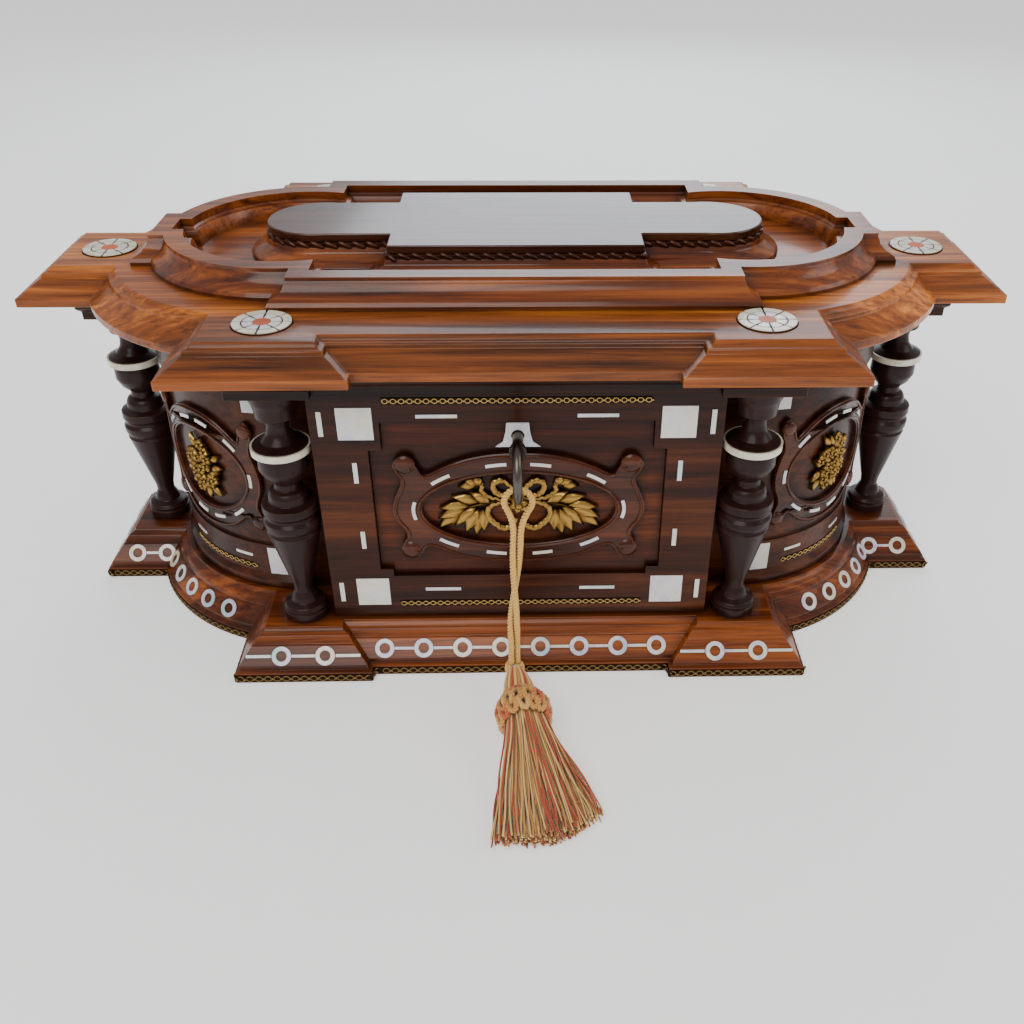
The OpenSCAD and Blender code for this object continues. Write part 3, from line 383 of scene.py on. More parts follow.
def silk(name, tinted):
    """Silk: a rope of one colour, or yarns whose own tint picks theirs, with painted shade between the yarns
    """
    cord = bpy.context.scene.casket_cord
    s = Sheet(name)
    fibre = s.noise(s.place, 900.0, 4.0, 0.7)
    if tinted:
        tint = s.node("ShaderNodeAttribute", {"attribute_name": "tint"}, out="Fac")
        colour = s.ramp(tint, [(0.0, cord.rust), (0.28, [c * 1.25 for c in cord.rust]), (0.42, cord.gold),
                               (0.66, [c * 1.2 for c in cord.gold]), (0.8, cord.cream),
                               (1.0, [c * 1.15 for c in cord.cream])])
        depth = 2.5 * MM
    else:
        colour = s.ramp(fibre, [(0.3, [c * 0.8 for c in cord.rope]), (0.7, [c * 1.15 for c in cord.rope])])
        depth = 1.2 * MM
    # painted shade: darker, towards a dim gold, where yarns crowd together, by ambient occlusion
    shade = (s.nearness(depth) ** 1.8 * 1.2).clamped()
    colour = s.mix(shade, [c * 0.3 for c in cord.gold], colour)
    s.set(Base_Color=colour, Roughness=0.55 + fibre * 0.2, Sheen_Weight=0.5, Sheen_Roughness=0.4)
    s.bump(fibre, 0.4, 0.15 * MM)
    return s.material


def baize(name):
    """Cloth lining under the lid"""
    s = Sheet(name)
    nap = s.noise(s.place, 700.0, 5.0, 0.7)
    wear = s.noise(s.place, 18.0, 3.0)
    colour = s.mix(nap, (0.05, 0.012, 0.014), (0.16, 0.03, 0.032))
    colour = s.mix(wear * 0.4, colour, (0.20, 0.07, 0.06))
    s.set(Base_Color=colour, Roughness=0.9, Sheen_Weight=0.4)
    s.bump(nap, 0.5, 0.3 * MM)
    return s.material


FINISHES = {
    "rosewood": lambda: rosewood("rosewood_lid", "X", 1.0),
    "rosewood_plaque": lambda: rosewood("rosewood_plaque", "X", (0.12, 0.12, 0.35), 0.2, 0.6),
    "rosewood_wall": lambda: rosewood("rosewood_wall", "X", (0.13, 0.10, 0.15), 0.26, 0.1),
    "rosewood_panel": lambda: rosewood("rosewood_panel", "X", (0.20, 0.14, 0.18), 0.26, 0.1),
    "rosewood_carved": lambda: rosewood("rosewood_carved", "X", (0.15, 0.11, 0.16), 0.18, 0.3),
    "rosewood_rim": lambda: rosewood("rosewood_rim", "X", (0.48, 0.40, 0.48), 0.2, 0.4),
    "rosewood_plinth": lambda: rosewood("rosewood_plinth", "X", (0.40, 0.32, 0.42), 0.22, 0.25),
    "rosewood_inside": lambda: rosewood("rosewood_inside", "Y", 0.6, 0.4),
    "terracotta": lambda: rosewood("terracotta_heart", "X", (1.1, 0.62, 0.9), 0.35),
    "ebonised": lambda: ebonised("ebonised_wood"),
    "pearl": lambda: pearl("shell_pearl", 0.30),
    "pearl_bright": lambda: pearl("shell_bright", -0.05),
    "bone": lambda: bone("cream_shell"),
    "gilt": lambda: metal("gilt_mount", bpy.context.scene.casket_inlay.gilt, (0.025, 0.012, 0.003), 0.22),
    "ribbon": lambda: metal("ribbon_brass", (0.62, 0.42, 0.15), (0.04, 0.022, 0.008), 0.3, 1.2 * MM),
    "ribbon_worn": lambda: metal("ribbon_worn", (0.26, 0.16, 0.06), (0.03, 0.018, 0.008), 0.4, 1.2 * MM),
    "ribbon_ground": lambda: metal("ribbon_ground", (0.03, 0.018, 0.01), (0.008, 0.005, 0.003), 0.5),
    "brass": lambda: metal("movement_brass", bpy.context.scene.casket_inlay.brass, (0.10, 0.06, 0.02),
                           0.26, 2 * MM, (60, 900, 900)),
    "steel": lambda: metal("ground_steel", (0.56, 0.56, 0.55), (0.09, 0.08, 0.07),
                           0.24, 2 * MM, (900, 60, 900)),
    "blued": lambda: metal("blued_steel", (0.06, 0.10, 0.26), (0.015, 0.02, 0.05), 0.2),
    "key_iron": lambda: metal("key_iron", (0.11, 0.095, 0.08), (0.02, 0.016, 0.012), 0.2, 2 * MM),
    "glass": lambda: glass("cover_glass"),
    "rope": lambda: silk("silk_rope", False),
    "yarn": lambda: silk("silk_yarn", True),
    "baize": lambda: baize("lid_baize"),
}
MADE = {}


def finish(name):
    """A finish's material, made the first time that it is asked for"""
    if name not in MADE:
        MADE[name] = FINISHES[name]()
    return MADE[name]


# ---------------------------------------------------------------- shapes

def piece_from(name, points, faces, material):
    """A mesh object with its place in its mesh"""
    mesh = bpy.data.meshes.new(name)
    mesh.from_pydata([tuple(p) for p in points], [], faces)
    mesh.materials.append(material)
    obj = bpy.data.objects.new(name, mesh)
    bpy.context.scene.collection.objects.link(obj)
    return obj


def outward(obj):
    """Faces point out of each closed shell"""
    work = bmesh.new()
    work.from_mesh(obj.data)
    bmesh.ops.recalc_face_normals(work, faces=work.faces)
    work.to_mesh(obj.data)
    work.free()
    return obj


def settle(obj, body, slot, *stands_for):
    """Says which body a piece rides and hides the CAD nodes it stands for; its slot is not used"""
    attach(obj, body)
    if stands_for:
        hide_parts(*stands_for)
    return obj


class Shell:
    """Points and faces of one piece, gathered shape by shape"""

    def __init__(self):
        self.points, self.faces, self.tints = [], [], []

    def add(self, points, faces, tint=0.5):
        start = len(self.points)
        self.points += points
        self.faces += [[start + i for i in face] for face in faces]
        self.tints += [tint] * len(points)

    def tube(self, path, radius, sides=8, tint=0.5, flat=1.0):
        """A closed tube along points; radius may change along it, flat squashes it one way"""
        path = [Vector(p) for p in path]
        count = len(path)
        radii = radius if isinstance(radius, list) else [radius] * count
        lead = Vector((0.3, 0.2, 1))
        points, faces = [], []
        for i, at in enumerate(path):
            run = (path[min(i + 1, count - 1)] - path[max(i - 1, 0)]).normalized()
            side = run.cross(lead).normalized()
            lift = side.cross(run).normalized()
            lead = lift
            for k in range(sides):
                turn = math.tau * k / sides
                points.append(at + radii[i] * (math.cos(turn) * side + flat * math.sin(turn) * lift))
        for i in range(count - 1):
            for k in range(sides):
                m = (k + 1) % sides
                faces.append([i * sides + k, i * sides + m, (i + 1) * sides + m, (i + 1) * sides + k])
        faces.append(list(range(sides - 1, -1, -1)))
        faces.append([(count - 1) * sides + k for k in range(sides)])
        self.add(points, faces, tint)

    def ball(self, at, radius, rings=6, sides=8, tint=0.5):
        points = [Vector(at) + Vector((0, 0, -radius)), Vector(at) + Vector((0, 0, radius))]
        for i in range(1, rings):
            a = math.pi * i / rings
            for k in range(sides):
                b = math.tau * k / sides
                out = Vector((math.sin(a) * math.cos(b), math.sin(a) * math.sin(b), -math.cos(a)))
                points.append(Vector(at) + radius * out)
        faces = [[0, 2 + (k + 1) % sides, 2 + k] for k in range(sides)]
        for i in range(rings - 2):
            for k in range(sides):
                m = (k + 1) % sides
                low, high = 2 + i * sides, 2 + (i + 1) * sides
                faces.append([low + k, low + m, high + m, high + k])
        top = 2 + (rings - 2) * sides
        faces += [[1, top + k, top + (k + 1) % sides] for k in range(sides)]
        self.add(points, faces, tint)

    def slab(self, outline, lift, place):
        """A flat plate: an outline in (u, v), from height 0 to lift, put in place by a function"""
        count = len(outline)
        points = [place(u, v, 0.0) for u, v in outline] + [place(u, v, lift) for u, v in outline]
        faces = [list(range(count - 1, -1, -1)), list(range(count, 2 * count))]
        faces += [[i, (i + 1) % count, count + (i + 1) % count, count + i] for i in range(count)]
        self.add(points, faces)

    def made(self, name, material, smooth=None):
        """The gathered shapes as one piece, with its faces turned outwards"""
        obj = outward(piece_from(name, self.points, self.faces, material))
        if smooth is not None:
            obj.data.shade_smooth()
            obj.data.set_sharp_from_angle(angle=math.radians(smooth))
        tint = obj.data.attributes.new("tint", "FLOAT", "POINT")
        tint.data.foreach_set("value", self.tints)
        return obj


def polished(node, material, edge=None, angle=24, name=None):
    """A CAD node's own shape, merged, with smooth curves and softened edges"""
    obj = bpy.data.objects.new(name or node + "_polished", NODES[node].data.copy())
    bpy.context.scene.collection.objects.link(obj)
    work = bmesh.new()
    work.from_mesh(obj.data)
    bmesh.ops.remove_doubles(work, verts=work.verts, dist=0.002 * MM)
    bmesh.ops.dissolve_limit(work, angle_limit=math.radians(0.6), verts=work.verts, edges=work.edges)
    for face in work.faces:
        face.smooth = True
    work.to_mesh(obj.data)
    work.free()
    for layer in list(obj.data.attributes):
        if layer.name == "custom_normal":
            obj.data.attributes.remove(layer)
    obj.data.set_sharp_from_angle(angle=math.radians(angle))
    obj.data.materials.clear()
    obj.data.materials.append(material)
    if edge:
        bevel = obj.modifiers.new("softened", "BEVEL")
        bevel.width, bevel.segments = edge, 2
        bevel.limit_method, bevel.angle_limit = "ANGLE", math.radians(angle)
        bevel.use_clamp_overlap = True
        bevel.miter_outer = "MITER_ARC"
    return settle(obj, BODY_OF[node], SLOT_OF[node], node)


# ---------------------------------------------------------------- geometry trees

class Works:
    """A geometry tree with named inputs, which ends in real geometry with its material"""

    def __init__(self, name):
        self.tree = bpy.data.node_groups.new(name, "GeometryNodeTree")
        self.tree.interface.new_socket("Geometry", in_out="INPUT", socket_type="NodeSocketGeometry")
        self.tree.interface.new_socket("Geometry", in_out="OUTPUT", socket_type="NodeSocketGeometry")
        self.inlet = self.tree.nodes.new("NodeGroupInput")
        self.outlet = self.tree.nodes.new("NodeGroupOutput")

    def number(self, name, kind="NodeSocketFloat"):
        self.tree.interface.new_socket(name, in_out="INPUT", socket_type=kind)
        return self.inlet.outputs[name]

    def node(self, kind, settings=None, values=(), out=0):
        made = self.tree.nodes.new(kind)
        for key, value in (settings or {}).items():
            setattr(made, key, value)
        for key, value in (values.items() if isinstance(values, dict) else enumerate(values)):
            if isinstance(value, bpy.types.NodeSocket):
                self.tree.links.new(value, made.inputs[key])
            else:
                made.inputs[key].default_value = value
        return made.outputs[out]

    def ends(self, geometry):
        """Real geometry, smooth, in the material given"""
        material = self.number("Finish", "NodeSocketMaterial")
        real = self.node("GeometryNodeRealizeInstances", None, [geometry])
        soft = self.node("GeometryNodeSetShadeSmooth", None, [real])
        dressed = self.node("GeometryNodeSetMaterial", None, {"Geometry": soft, "Material": material})
        self.tree.links.new(dressed, self.outlet.inputs[0])
        return self


def grown(name, points, edges, works, **values):
    """A tree's result on a mesh of points and edges, as a plain mesh of its own"""
    tints = values.pop("tints", None)
    vectors = values.pop("outward", None)
    mesh = bpy.data.meshes.new(name + "_path")
    mesh.from_pydata([tuple(p) for p in points], edges, [])
    if tints:
        mesh.attributes.new("tint", "FLOAT", "POINT").data.foreach_set("value", tints)
    if vectors:
        layer = mesh.attributes.new("outward", "FLOAT_VECTOR", "POINT")
        layer.data.foreach_set("vector", [c for v in vectors for c in v])
    seed = bpy.data.objects.new(name + "_path", mesh)
    bpy.context.scene.collection.objects.link(seed)
    modifier = seed.modifiers.new("works", "NODES")
    modifier.node_group = works.tree
    names = {item.name: item.identifier for item in works.tree.interface.items_tree
             if item.in_out == "INPUT"}
    for key, value in values.items():
        modifier[names[key.replace("_", " ")]] = value
    bpy.context.view_layer.update()
    result = bpy.data.meshes.new_from_object(seed.evaluated_get(bpy.context.evaluated_depsgraph_get()))
    result.name = name
    bpy.data.objects.remove(seed)
    obj = bpy.data.objects.new(name, result)
    bpy.context.scene.collection.objects.link(obj)
    return obj


def yarn_works():
    """Round yarns along every chain of edges"""
    w = Works("yarns along paths")
    thick = w.number("Thickness")
    sides = w.number("Sides", "NodeSocketInt")
    line = w.node("GeometryNodeMeshToCurve", None, [w.inlet.outputs[0]])
    ring = w.node("GeometryNodeCurvePrimitiveCircle", None, {"Resolution": sides, "Radius": thick})
    return w.ends(w.node("GeometryNodeCurveToMesh", None,
                         {"Curve": line, "Profile Curve": ring, "Fill Caps": True}))


def ribbon_works():
    """Small oval rings with a bead between them, along a path, as on a stamped brass ribbon"""
    w = Works("ribbon of rings along a path")
    pitch, height, wire = w.number("Pitch"), w.number("Height"), w.number("Wire")
    line = w.node("GeometryNodeMeshToCurve", None, [w.inlet.outputs[0]])
    steps = w.node("GeometryNodeResampleCurve", {"mode": "LENGTH"}, {"Curve": line, "Length": pitch})
    ahead = w.node("GeometryNodeInputTangent")
    turn = w.node("FunctionNodeAlignRotationToVector", {"axis": "X"}, {"Vector": ahead})
    half = w.node("ShaderNodeMath", {"operation": "MULTIPLY"}, [height, 0.38])
    wide = w.node("GeometryNodeCurvePrimitiveCircle", None, {"Resolution": 12, "Radius": half})
    long = w.node("GeometryNodeTransform", None, {"Geometry": wide, "Scale": (1.15, 1.0, 1.0)})
    stand = w.node("GeometryNodeTransform", None,
                   {"Geometry": long, "Rotation": (math.radians(90), 0.0, 0.0)})
    ring = w.node("GeometryNodeCurvePrimitiveCircle", None, {"Resolution": 5, "Radius": wire})
    link = w.node("GeometryNodeCurveToMesh", None, {"Curve": stand, "Profile Curve": ring})
    away = w.node("ShaderNodeMath", {"operation": "MULTIPLY"}, [pitch, 0.5])
    aside = w.node("ShaderNodeCombineXYZ", None, [away])
    knob = w.node("ShaderNodeMath", {"operation": "MULTIPLY"}, [height, 0.2])
    bead = w.node("GeometryNodeMeshUVSphere", None, {"Segments": 8, "Rings": 5, "Radius": knob})
    bead = w.node("GeometryNodeTransform", None, {"Geometry": bead, "Translation": aside})
    both = w.tree.nodes.new("GeometryNodeJoinGeometry")
    w.tree.links.new(bead, both.inputs[0])
    w.tree.links.new(link, both.inputs[0])
    return w.ends(w.node("GeometryNodeInstanceOnPoints", None,
                         {"Points": steps, "Instance": both.outputs[0], "Rotation": turn}))


def lobe_works():
    """Carved lobes, each leaning along the path, as under a table top"""
    w = Works("carved lobes along a path")
    pitch, height, depth = w.number("Pitch"), w.number("Height"), w.number("Depth")
    line = w.node("GeometryNodeMeshToCurve", None, [w.inlet.outputs[0]])
    steps = w.node("GeometryNodeResampleCurve", {"mode": "LENGTH"}, {"Curve": line, "Length": pitch})
    ahead = w.node("GeometryNodeInputTangent")
    turn = w.node("FunctionNodeAlignRotationToVector", {"axis": "X"}, {"Vector": ahead})
    ball = w.node("GeometryNodeMeshUVSphere", None, {"Segments": 12, "Rings": 8, "Radius": 0.5})
    long = w.node("ShaderNodeMath", {"operation": "MULTIPLY"}, [pitch, 1.12])
    size = w.node("ShaderNodeCombineXYZ", None, [long, depth, height])
    lobe = w.node("GeometryNodeTransform", None, {"Geometry": ball, "Scale": size,
                                                  "Rotation": (0.0, math.radians(24), 0.0)})
    return w.ends(w.node("GeometryNodeInstanceOnPoints", None,
                         {"Points": steps, "Instance": lobe, "Rotation": turn}))


def stud_works():
    """Small pointed studs on points, each along its own outward vector"""
    w = Works("studs on points")
    tall, base = w.number("Height"), w.number("Radius")
    stud = w.node("GeometryNodeMeshCone", None,
                  {"Vertices": 6, "Radius Top": 0.00005, "Radius Bottom": base, "Depth": tall})
    out = w.node("GeometryNodeInputNamedAttribute", {"data_type": "FLOAT_VECTOR"}, {"Name": "outward"})
    turn = w.node("FunctionNodeAlignRotationToVector", {"axis": "Z"}, {"Vector": out})
    return w.ends(w.node("GeometryNodeInstanceOnPoints", None,
                         {"Points": w.inlet.outputs[0], "Instance": stud, "Rotation": turn}))


# ---------------------------------------------------------------- paths and ornament

def plan(hx, hy, r, block, step, lift):
    """The casket's outline: stepped fronts, round quarters and square ends, as a closed path"""
    reach = math.sqrt(r * r - (block / 2) ** 2)
    start = math.atan2(-reach, block / 2)
    stop = math.atan2(-block / 2, reach)
    left, right = END_X - block / 2, END_X + block / 2
    quarter = [(0, step - hy), (left, step - hy), (left, -hy), (right, -hy)]
    quarter += [(END_X + r * math.cos(start + (stop - start) * i / 14),
                 r * math.sin(start + (stop - start) * i / 14)) for i in range(15)]
    quarter += [(hx, -block / 2), (hx, 0)]
    half = quarter + [(x, -y) for x, y in quarter[-2::-1]]
    around = half + [(-x, y) for x, y in half[-2:0:-1]]
    return [(x, y, lift) for x, y in around]


def chain(points, closed=False):
    """Edges that join points in turn"""
    count = len(points)
    return [(i, i + 1) for i in range(count - 1)] + ([(count - 1, 0)] if closed else [])


def on_front(u, v, lift, back=False):
    """A place on the sunk panel's plane, lift in front of it"""
    side = -1 if back else 1
    return Vector((side * u, side * (-PANEL_Y - lift), OVAL_Z + v))


def on_end(s, turned=0.0):
    """Places on a round end wall: u round it, v up, lift outward"""
    def place(u, v, lift):
        turn = math.radians(turned) + u / END_WALL_R
        r = END_WALL_R + lift
        return Vector((s * (END_X + r * math.cos(turn)), s * r * math.sin(turn), OVAL_Z + v))
    return place


# middles of the round walls' ovals: end, and degrees from its middle
QUARTERS = [(s, turned) for s in (1, -1) for turned in (50, -50)]


def leaf_blade(shell, place, base, turn, length, width, lift, rise=1.6 * MM):
    """One cast leaf: a ridged midrib, cupped sides and a curled tip, closed underneath"""
    ahead = Vector((math.cos(turn), math.sin(turn)))
    side = Vector((-ahead.y, ahead.x))
    steps = 8
    top, under = [], []
    for i in range(steps + 1):
        t = i / steps
        half = width / 2 * (math.sin(math.pi * min(t * 1.04, 1.0) ** 0.8) + 0.04)
        arch = lift + rise * math.sin(math.pi * (0.15 + 0.75 * t))
        for k, (across, drop) in enumerate(((-1, 0.9), (-0.55, 0.1), (0, 0.0), (0.55, 0.1), (1, 0.9))):
            at = Vector(base) + ahead * (length * t) + side * (half * across)
            rib = 0.5 * MM if across == 0 else 0
            top.append(place(at.x, at.y, arch - drop * 0.7 * MM + rib))
            under.append(place(at.x, at.y, max(arch - drop * 0.7 * MM - 0.8 * MM, 0.02 * MM)))
    points, cols = top + under, 5
    off = len(top)
    faces = []
    for i in range(steps):
        for k in range(cols - 1):
            a, b = i * cols + k, (i + 1) * cols + k
            faces.append([a, a + 1, b + 1, b])
            faces.append([off + a, off + b, off + b + 1, off + a + 1])
        for k in (0, cols - 1):
            a, b = i * cols + k, (i + 1) * cols + k
            faces.append([a, b, off + b, off + a] if k == 0 else [a, off + a, off + b, b])
    for k in range(cols - 1):
        faces.append([k, off + k, off + k + 1, k + 1])
        end = steps * cols + k
        faces.append([end, end + 1, off + end + 1, off + end])
    shell.add(points, faces)


def scroll(shell, place, points, radius, lift, taper):
    """A wavy ribbon or stalk through flat places (u, v), tapered at both ends"""
    count = len(points)
    radii = [radius * (taper + (1 - taper) * math.sin(math.pi * i / (count - 1)) ** 0.5)
             for i in range(count)]
    shell.tube([place(u, v, lift) for u, v in points], radii, sides=6, flat=0.8)


def through(points, each=6, closed=False):
    """A smooth line through flat places"""
    count = len(points)
    last = count if closed else count - 1
    result = []
    for i in range(last):
        if closed:
            a, b, c, d = (points[(i + k) % count] for k in (-1, 0, 1, 2))
        else:
            a, b, c, d = (points[min(max(i + k, 0), count - 1)] for k in (-1, 0, 1, 2))
        for j in range(each):
            t = j / each
            result.append(tuple(0.5 * (2 * q + (r - p) * t + (2 * p - 5 * q + 4 * r - w) * t * t
                                       + (3 * q - p - 3 * r + w) * t ** 3)
                                for p, q, r, w in zip(a, b, c, d)))
    return result if closed else result + [points[-1]]


# leaves of one branch: where each begins and where its tip is, in mm from the oval's middle
LEAVES = [((-18, 4.4), (-31, 7.4)), ((-23, 2.6), (-36.5, 1.4)), ((-25, 1.3), (-37.4, -3.9)),
          ((-25.5, 0.4), (-38.2, -10.2)), ((-20, 1.6), (-30, -8.6)), ((-18.6, 0.6), (-25.4, -12.4)),
          ((-17.6, 0.2), (-20.4, -15.2)), ((-16.6, 0.6), (-16.2, -12.6)), ((-13, 4.6), (-22.4, 10.0)),
          ((-19, 13.6), (-27.6, 12.4)), ((-18, 14), (-25.2, 16.6)), ((-16.8, 14), (-20.6, 18.6))]
# lines of one side's ribbon, with its tail, its lower loop and the branch's stalk: radius and points
RIBBONS = [(1.35, [(-1.2, 7), (-3.2, 12.2), (-7.4, 15.6), (-11.4, 14), (-10.8, 9.8), (-7, 7.6), (-2, 6)]),
           (1.2, [(-3, 6.4), (-9.4, 6.2), (-14.6, 7.6), (-17, 10.6), (-16.6, 13.6), (-19.6, 15)]),
           (1.35, [(-1.6, 3.4), (-7.6, 4.2), (-13, 2), (-14.4, -2.6), (-11.6, -7), (-7.2, -10),
                   (-3.2, -8.4), (-1.4, -4.6)]),
           (0.85, [(-3, 6.2), (-10, 4.6), (-18, 2.8), (-25, 0.6)])]


def laurel(shell, place):
    """Two drooping laurel branches, tied by a waving ribbon with loops above and below"""
    for s in (1, -1):
        for n, ((u, v), (tip_u, tip_v)) in enumerate(LEAVES):
            length = math.hypot(tip_u - u, tip_v - v)
            turn = math.atan2(tip_v - v, s * (u - tip_u))
            leaf_blade(shell, place, (-s * u * MM, v * MM), turn, length * MM, (3.3 + 0.14 * length) * MM,
                       (0.8 + 0.5 * (n % 3)) * MM)
        for radius, points in RIBBONS:
            line = through([(-s * u * MM, v * MM) for u, v in points], 8)
            crimp = 0.45 * MM if radius > 1 else 0
            line = [(u, v + crimp * math.sin(i * 1.5)) for i, (u, v) in enumerate(line)]
            scroll(shell, place, line, radius * MM, 1.9 * MM if radius > 1 else 1.1 * MM, 0.6)
    for k in range(6):
        leaf_blade(shell, place, (0, 3.5 * MM), k * math.tau / 6 + 0.3, 5.4 * MM, 3.6 * MM, 2.4 * MM)
    shell.ball(place(0, 3.5 * MM, 4.0 * MM), 1.7 * MM)


def posy(shell, place, chance):
    """A tight upright bunch of small flowers and leaves"""
    count = 34
    golden = 2.39996
    for n in range(count):
        turn, out = n * golden, math.sqrt((n + 0.5) / count)
        u, v = 10.5 * out * math.cos(turn), 15.5 * out * math.sin(turn)
        lift = (0.9 + 1.6 * (1 - out)) * MM
        if n % 2:
            aim = math.atan2(v, u * 1.4) + chance.uniform(-0.5, 0.5)
            leaf_blade(shell, place, (u * 0.75 * MM, v * 0.75 * MM), aim, 7.5 * MM, 3.6 * MM, lift)
        else:
            for k in range(5):
                leaf_blade(shell, place, (u * 0.85 * MM, v * 0.85 * MM), turn + k * math.tau / 5, 3.6 * MM,
                           2.6 * MM, lift + 0.7 * MM)
            shell.ball(place(u * 0.85 * MM, v * 0.85 * MM, lift + 2.6 * MM), 0.9 * MM, 5, 7)


# right half of the front strapwork's outline, in mm from the oval's middle, from the top
STRAP = [(0, 29.3), (12, 28.8), (24, 26.3), (34, 22.3), (41, 18.8), (44.5, 19.2), (46.6, 23), (50, 28.2),
         (54.5, 26.6), (56.2, 22.5), (53.6, 18.2), (53, 14), (55, 9.5), (57, 4), (57.6, -1), (56.2, -6),
         (53.4, -10), (52, -14), (54, -17.5), (54.8, -21.5), (52, -25.2), (48, -25.4), (45.8, -21.5),
         (43, -19.5), (38, -20.8), (30, -24.8), (20, -27.6), (10, -28.8), (0, -29.2)]


def strap_plate(shell, place, wide, tall, thick):
    """A contoured plate with an oval window, two beads and a boss in each ear"""
    half = [(u * wide * MM, v * tall * MM) for u, v in STRAP]
    outer = through(half + [(-u, v) for u, v in half[-2:0:-1]], 4, True)
    a, b = 44.4 * wide * MM, 19.1 * tall * MM
    inner = [(a * math.cos(t), b * math.sin(t)) for t in turns(96)]
    foot, shoulder = 0.02 * MM, thick - 0.5 * MM
    rings = [(outer, foot), (outer, shoulder), ([(u * 0.988, v * 0.982) for u, v in outer], thick),
             ([(u * 1.02, v * 1.03) for u, v in inner], thick), (inner, shoulder), (inner, foot)]
    points = [place(u, v, lift) for ring, lift in rings for u, v in ring]
    first = [sum(len(ring) for ring, lift in rings[:r]) for r in range(6)]
    faces = []
    for r in (0, 1, 3, 4):
        count = len(rings[r][0])
        low, high = first[r], first[r + 1]
        faces += [[low + i, low + (i + 1) % count, high + (i + 1) % count, high + i] for i in range(count)]
    for r, other in ((2, 3), (0, 5)):
        numbers = [first[r] + i for i in range(len(outer))]
        numbers += [first[other] + i for i in range(len(inner))]
        flat = [[Vector((u, v, 0)) for u, v in rings[k][0]] for k in (r, other)]
        faces += [[numbers[i] for i in corner] for corner in tessellate_polygon(flat)]
    shell.add(points, faces)
    beads = [([(u * 1.035, v * 1.06) for u, v in inner], 0.75 * MM),
             ([(u * 0.975, v * 0.955) for u, v in outer], 0.6 * MM)]
    for ring, radius in beads:
        shell.tube([place(u, v, thick) for u, v in ring + ring[:2]], radius)
    for u in (-50.5, 50.5):
        for v in (24, -21.5):
            dome(shell, place, u * wide * MM, v * tall * MM, 4.6 * math.sqrt(wide * tall) * MM, thick)


def dome(shell, place, u, v, radius, lift):
    """A low round boss"""
    sides = 20
    points = [place(u, v, lift + 1.5 * MM)]
    for share, height in ((0.45, 1.35), (0.8, 0.9), (1.0, 0.0), (1.0, -1.0)):
        r = share * radius
        points += [place(u + r * math.cos(a), v + r * math.sin(a), lift + height * MM) for a in turns(sides)]
    points.append(place(u, v, lift - 1.0 * MM))
    first = [1 + r * sides for r in range(5)]
    pairs = [(k, (k + 1) % sides) for k in range(sides)]
    faces = [[0, 1 + k, 1 + m] for k, m in pairs]
    faces += [[first[r] + k, first[r + 1] + k, first[r + 1] + m, first[r] + m]
              for r in range(3) for k, m in pairs]
    faces += [[first[4], first[3] + m, first[3] + k] for k, m in pairs]
    shell.add(points, faces)


def bar_on_ellipse(shell, place, a, b, centre, half_length, half_width, face, mirror):
    """One bar of pearl let into an oval's face, bent with it"""
    slope = math.hypot(a * math.sin(centre), b * math.cos(centre))
    half = half_length / slope
    outer, inner = [], []
    for i in range(9):
        t = centre + half * (i / 4 - 1)
        at = Vector((a * math.cos(t), b * math.sin(t)))
        out = Vector((b * math.cos(t), a * math.sin(t))).normalized() * half_width
        outer.append(((at + out).x * mirror, (at + out).y))
        inner.append(((at - out).x * mirror, (at - out).y))
    shell.slab(outer + inner[::-1], 0.55 * MM, lambda u, v, lift: place(u, v, face - 0.3 * MM + lift))


# ---------------------------------------------------------------- cord and tassel

KNOT = middle("tassel_knot")
TASSEL_Z = 12.6                                  # height of the lying collar's axis, in mm
SKIRT_R = 9.2                                    # radius in which the skirt's yarns begin, in mm
HEAD_TINTS = (0.08, 0.95, 0.5, 0.9)
COLLAR_TINTS = (0.62, 0.45, 0.72, 0.55, 0.3)
TUFT_TINTS = (0.08, 0.85, 0.5, 0.95, 0.1, 0.62, 0.12, 0.8)
STRAY_TINTS = (0.08, 0.12, 0.5, 0.62, 0.8, 0.95)


def strand_route(s):
    """One strand: over the ring's lower limb, down beside its twin and round it, into the knot"""
    loop = 6 * MM
    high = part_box("key_cord_loop")[1].z - 1.5 * MM
    middle_z = high - loop
    route = [Vector((0, BOW_Y, high))]
    for i in range(1, 9):
        a = math.pi / 2 * (1 - i / 8)
        route.append(Vector((s * loop * math.cos(a), BOW_Y, middle_z + loop * math.sin(a))))
    top = middle_z - 2 * MM
    bottom = KNOT.z + 3.6 * MM
    for i in range(0, 41):
        t = i / 40
        z = top + (bottom - top) * t
        spread = 1.55 * MM + 4.2 * MM * max(0.0, 1 - t * 6) ** 2
        turn = math.radians(205) * max(0.0, min(1.0, (t - 0.25) / 0.6))
        sway = KNOT.x * min(1.0, t * 1.4)
        route.append(Vector((sway + s * spread * math.cos(turn), BOW_Y + s * spread * math.sin(turn), z)))
    return route


def length_of(route):
    """Length along a route"""
    return sum((b - a).length for a, b in zip(route, route[1:]))


def smooth_route(route, step):
    """The route at even steps"""
    result, over = [route[0]], 0.0
    for a, b in zip(route, route[1:]):
        run = (b - a).length
        at = step - over
        while at < run:
            result.append(a.lerp(b, at / run))
            at += step
        over = (over + run) % step
    return result + [route[-1]]


def frames_along(route):
    """A side and a lift at each point, carried along without twist"""
    side = None
    result = []
    for i, at in enumerate(route):
        run = (route[min(i + 1, len(route) - 1)] - route[max(i - 1, 0)]).normalized()
        if side is None:
            side = run.orthogonal().normalized()
        side = (side - run * side.dot(run)).normalized()
        result.append((side, run.cross(side)))
    return result


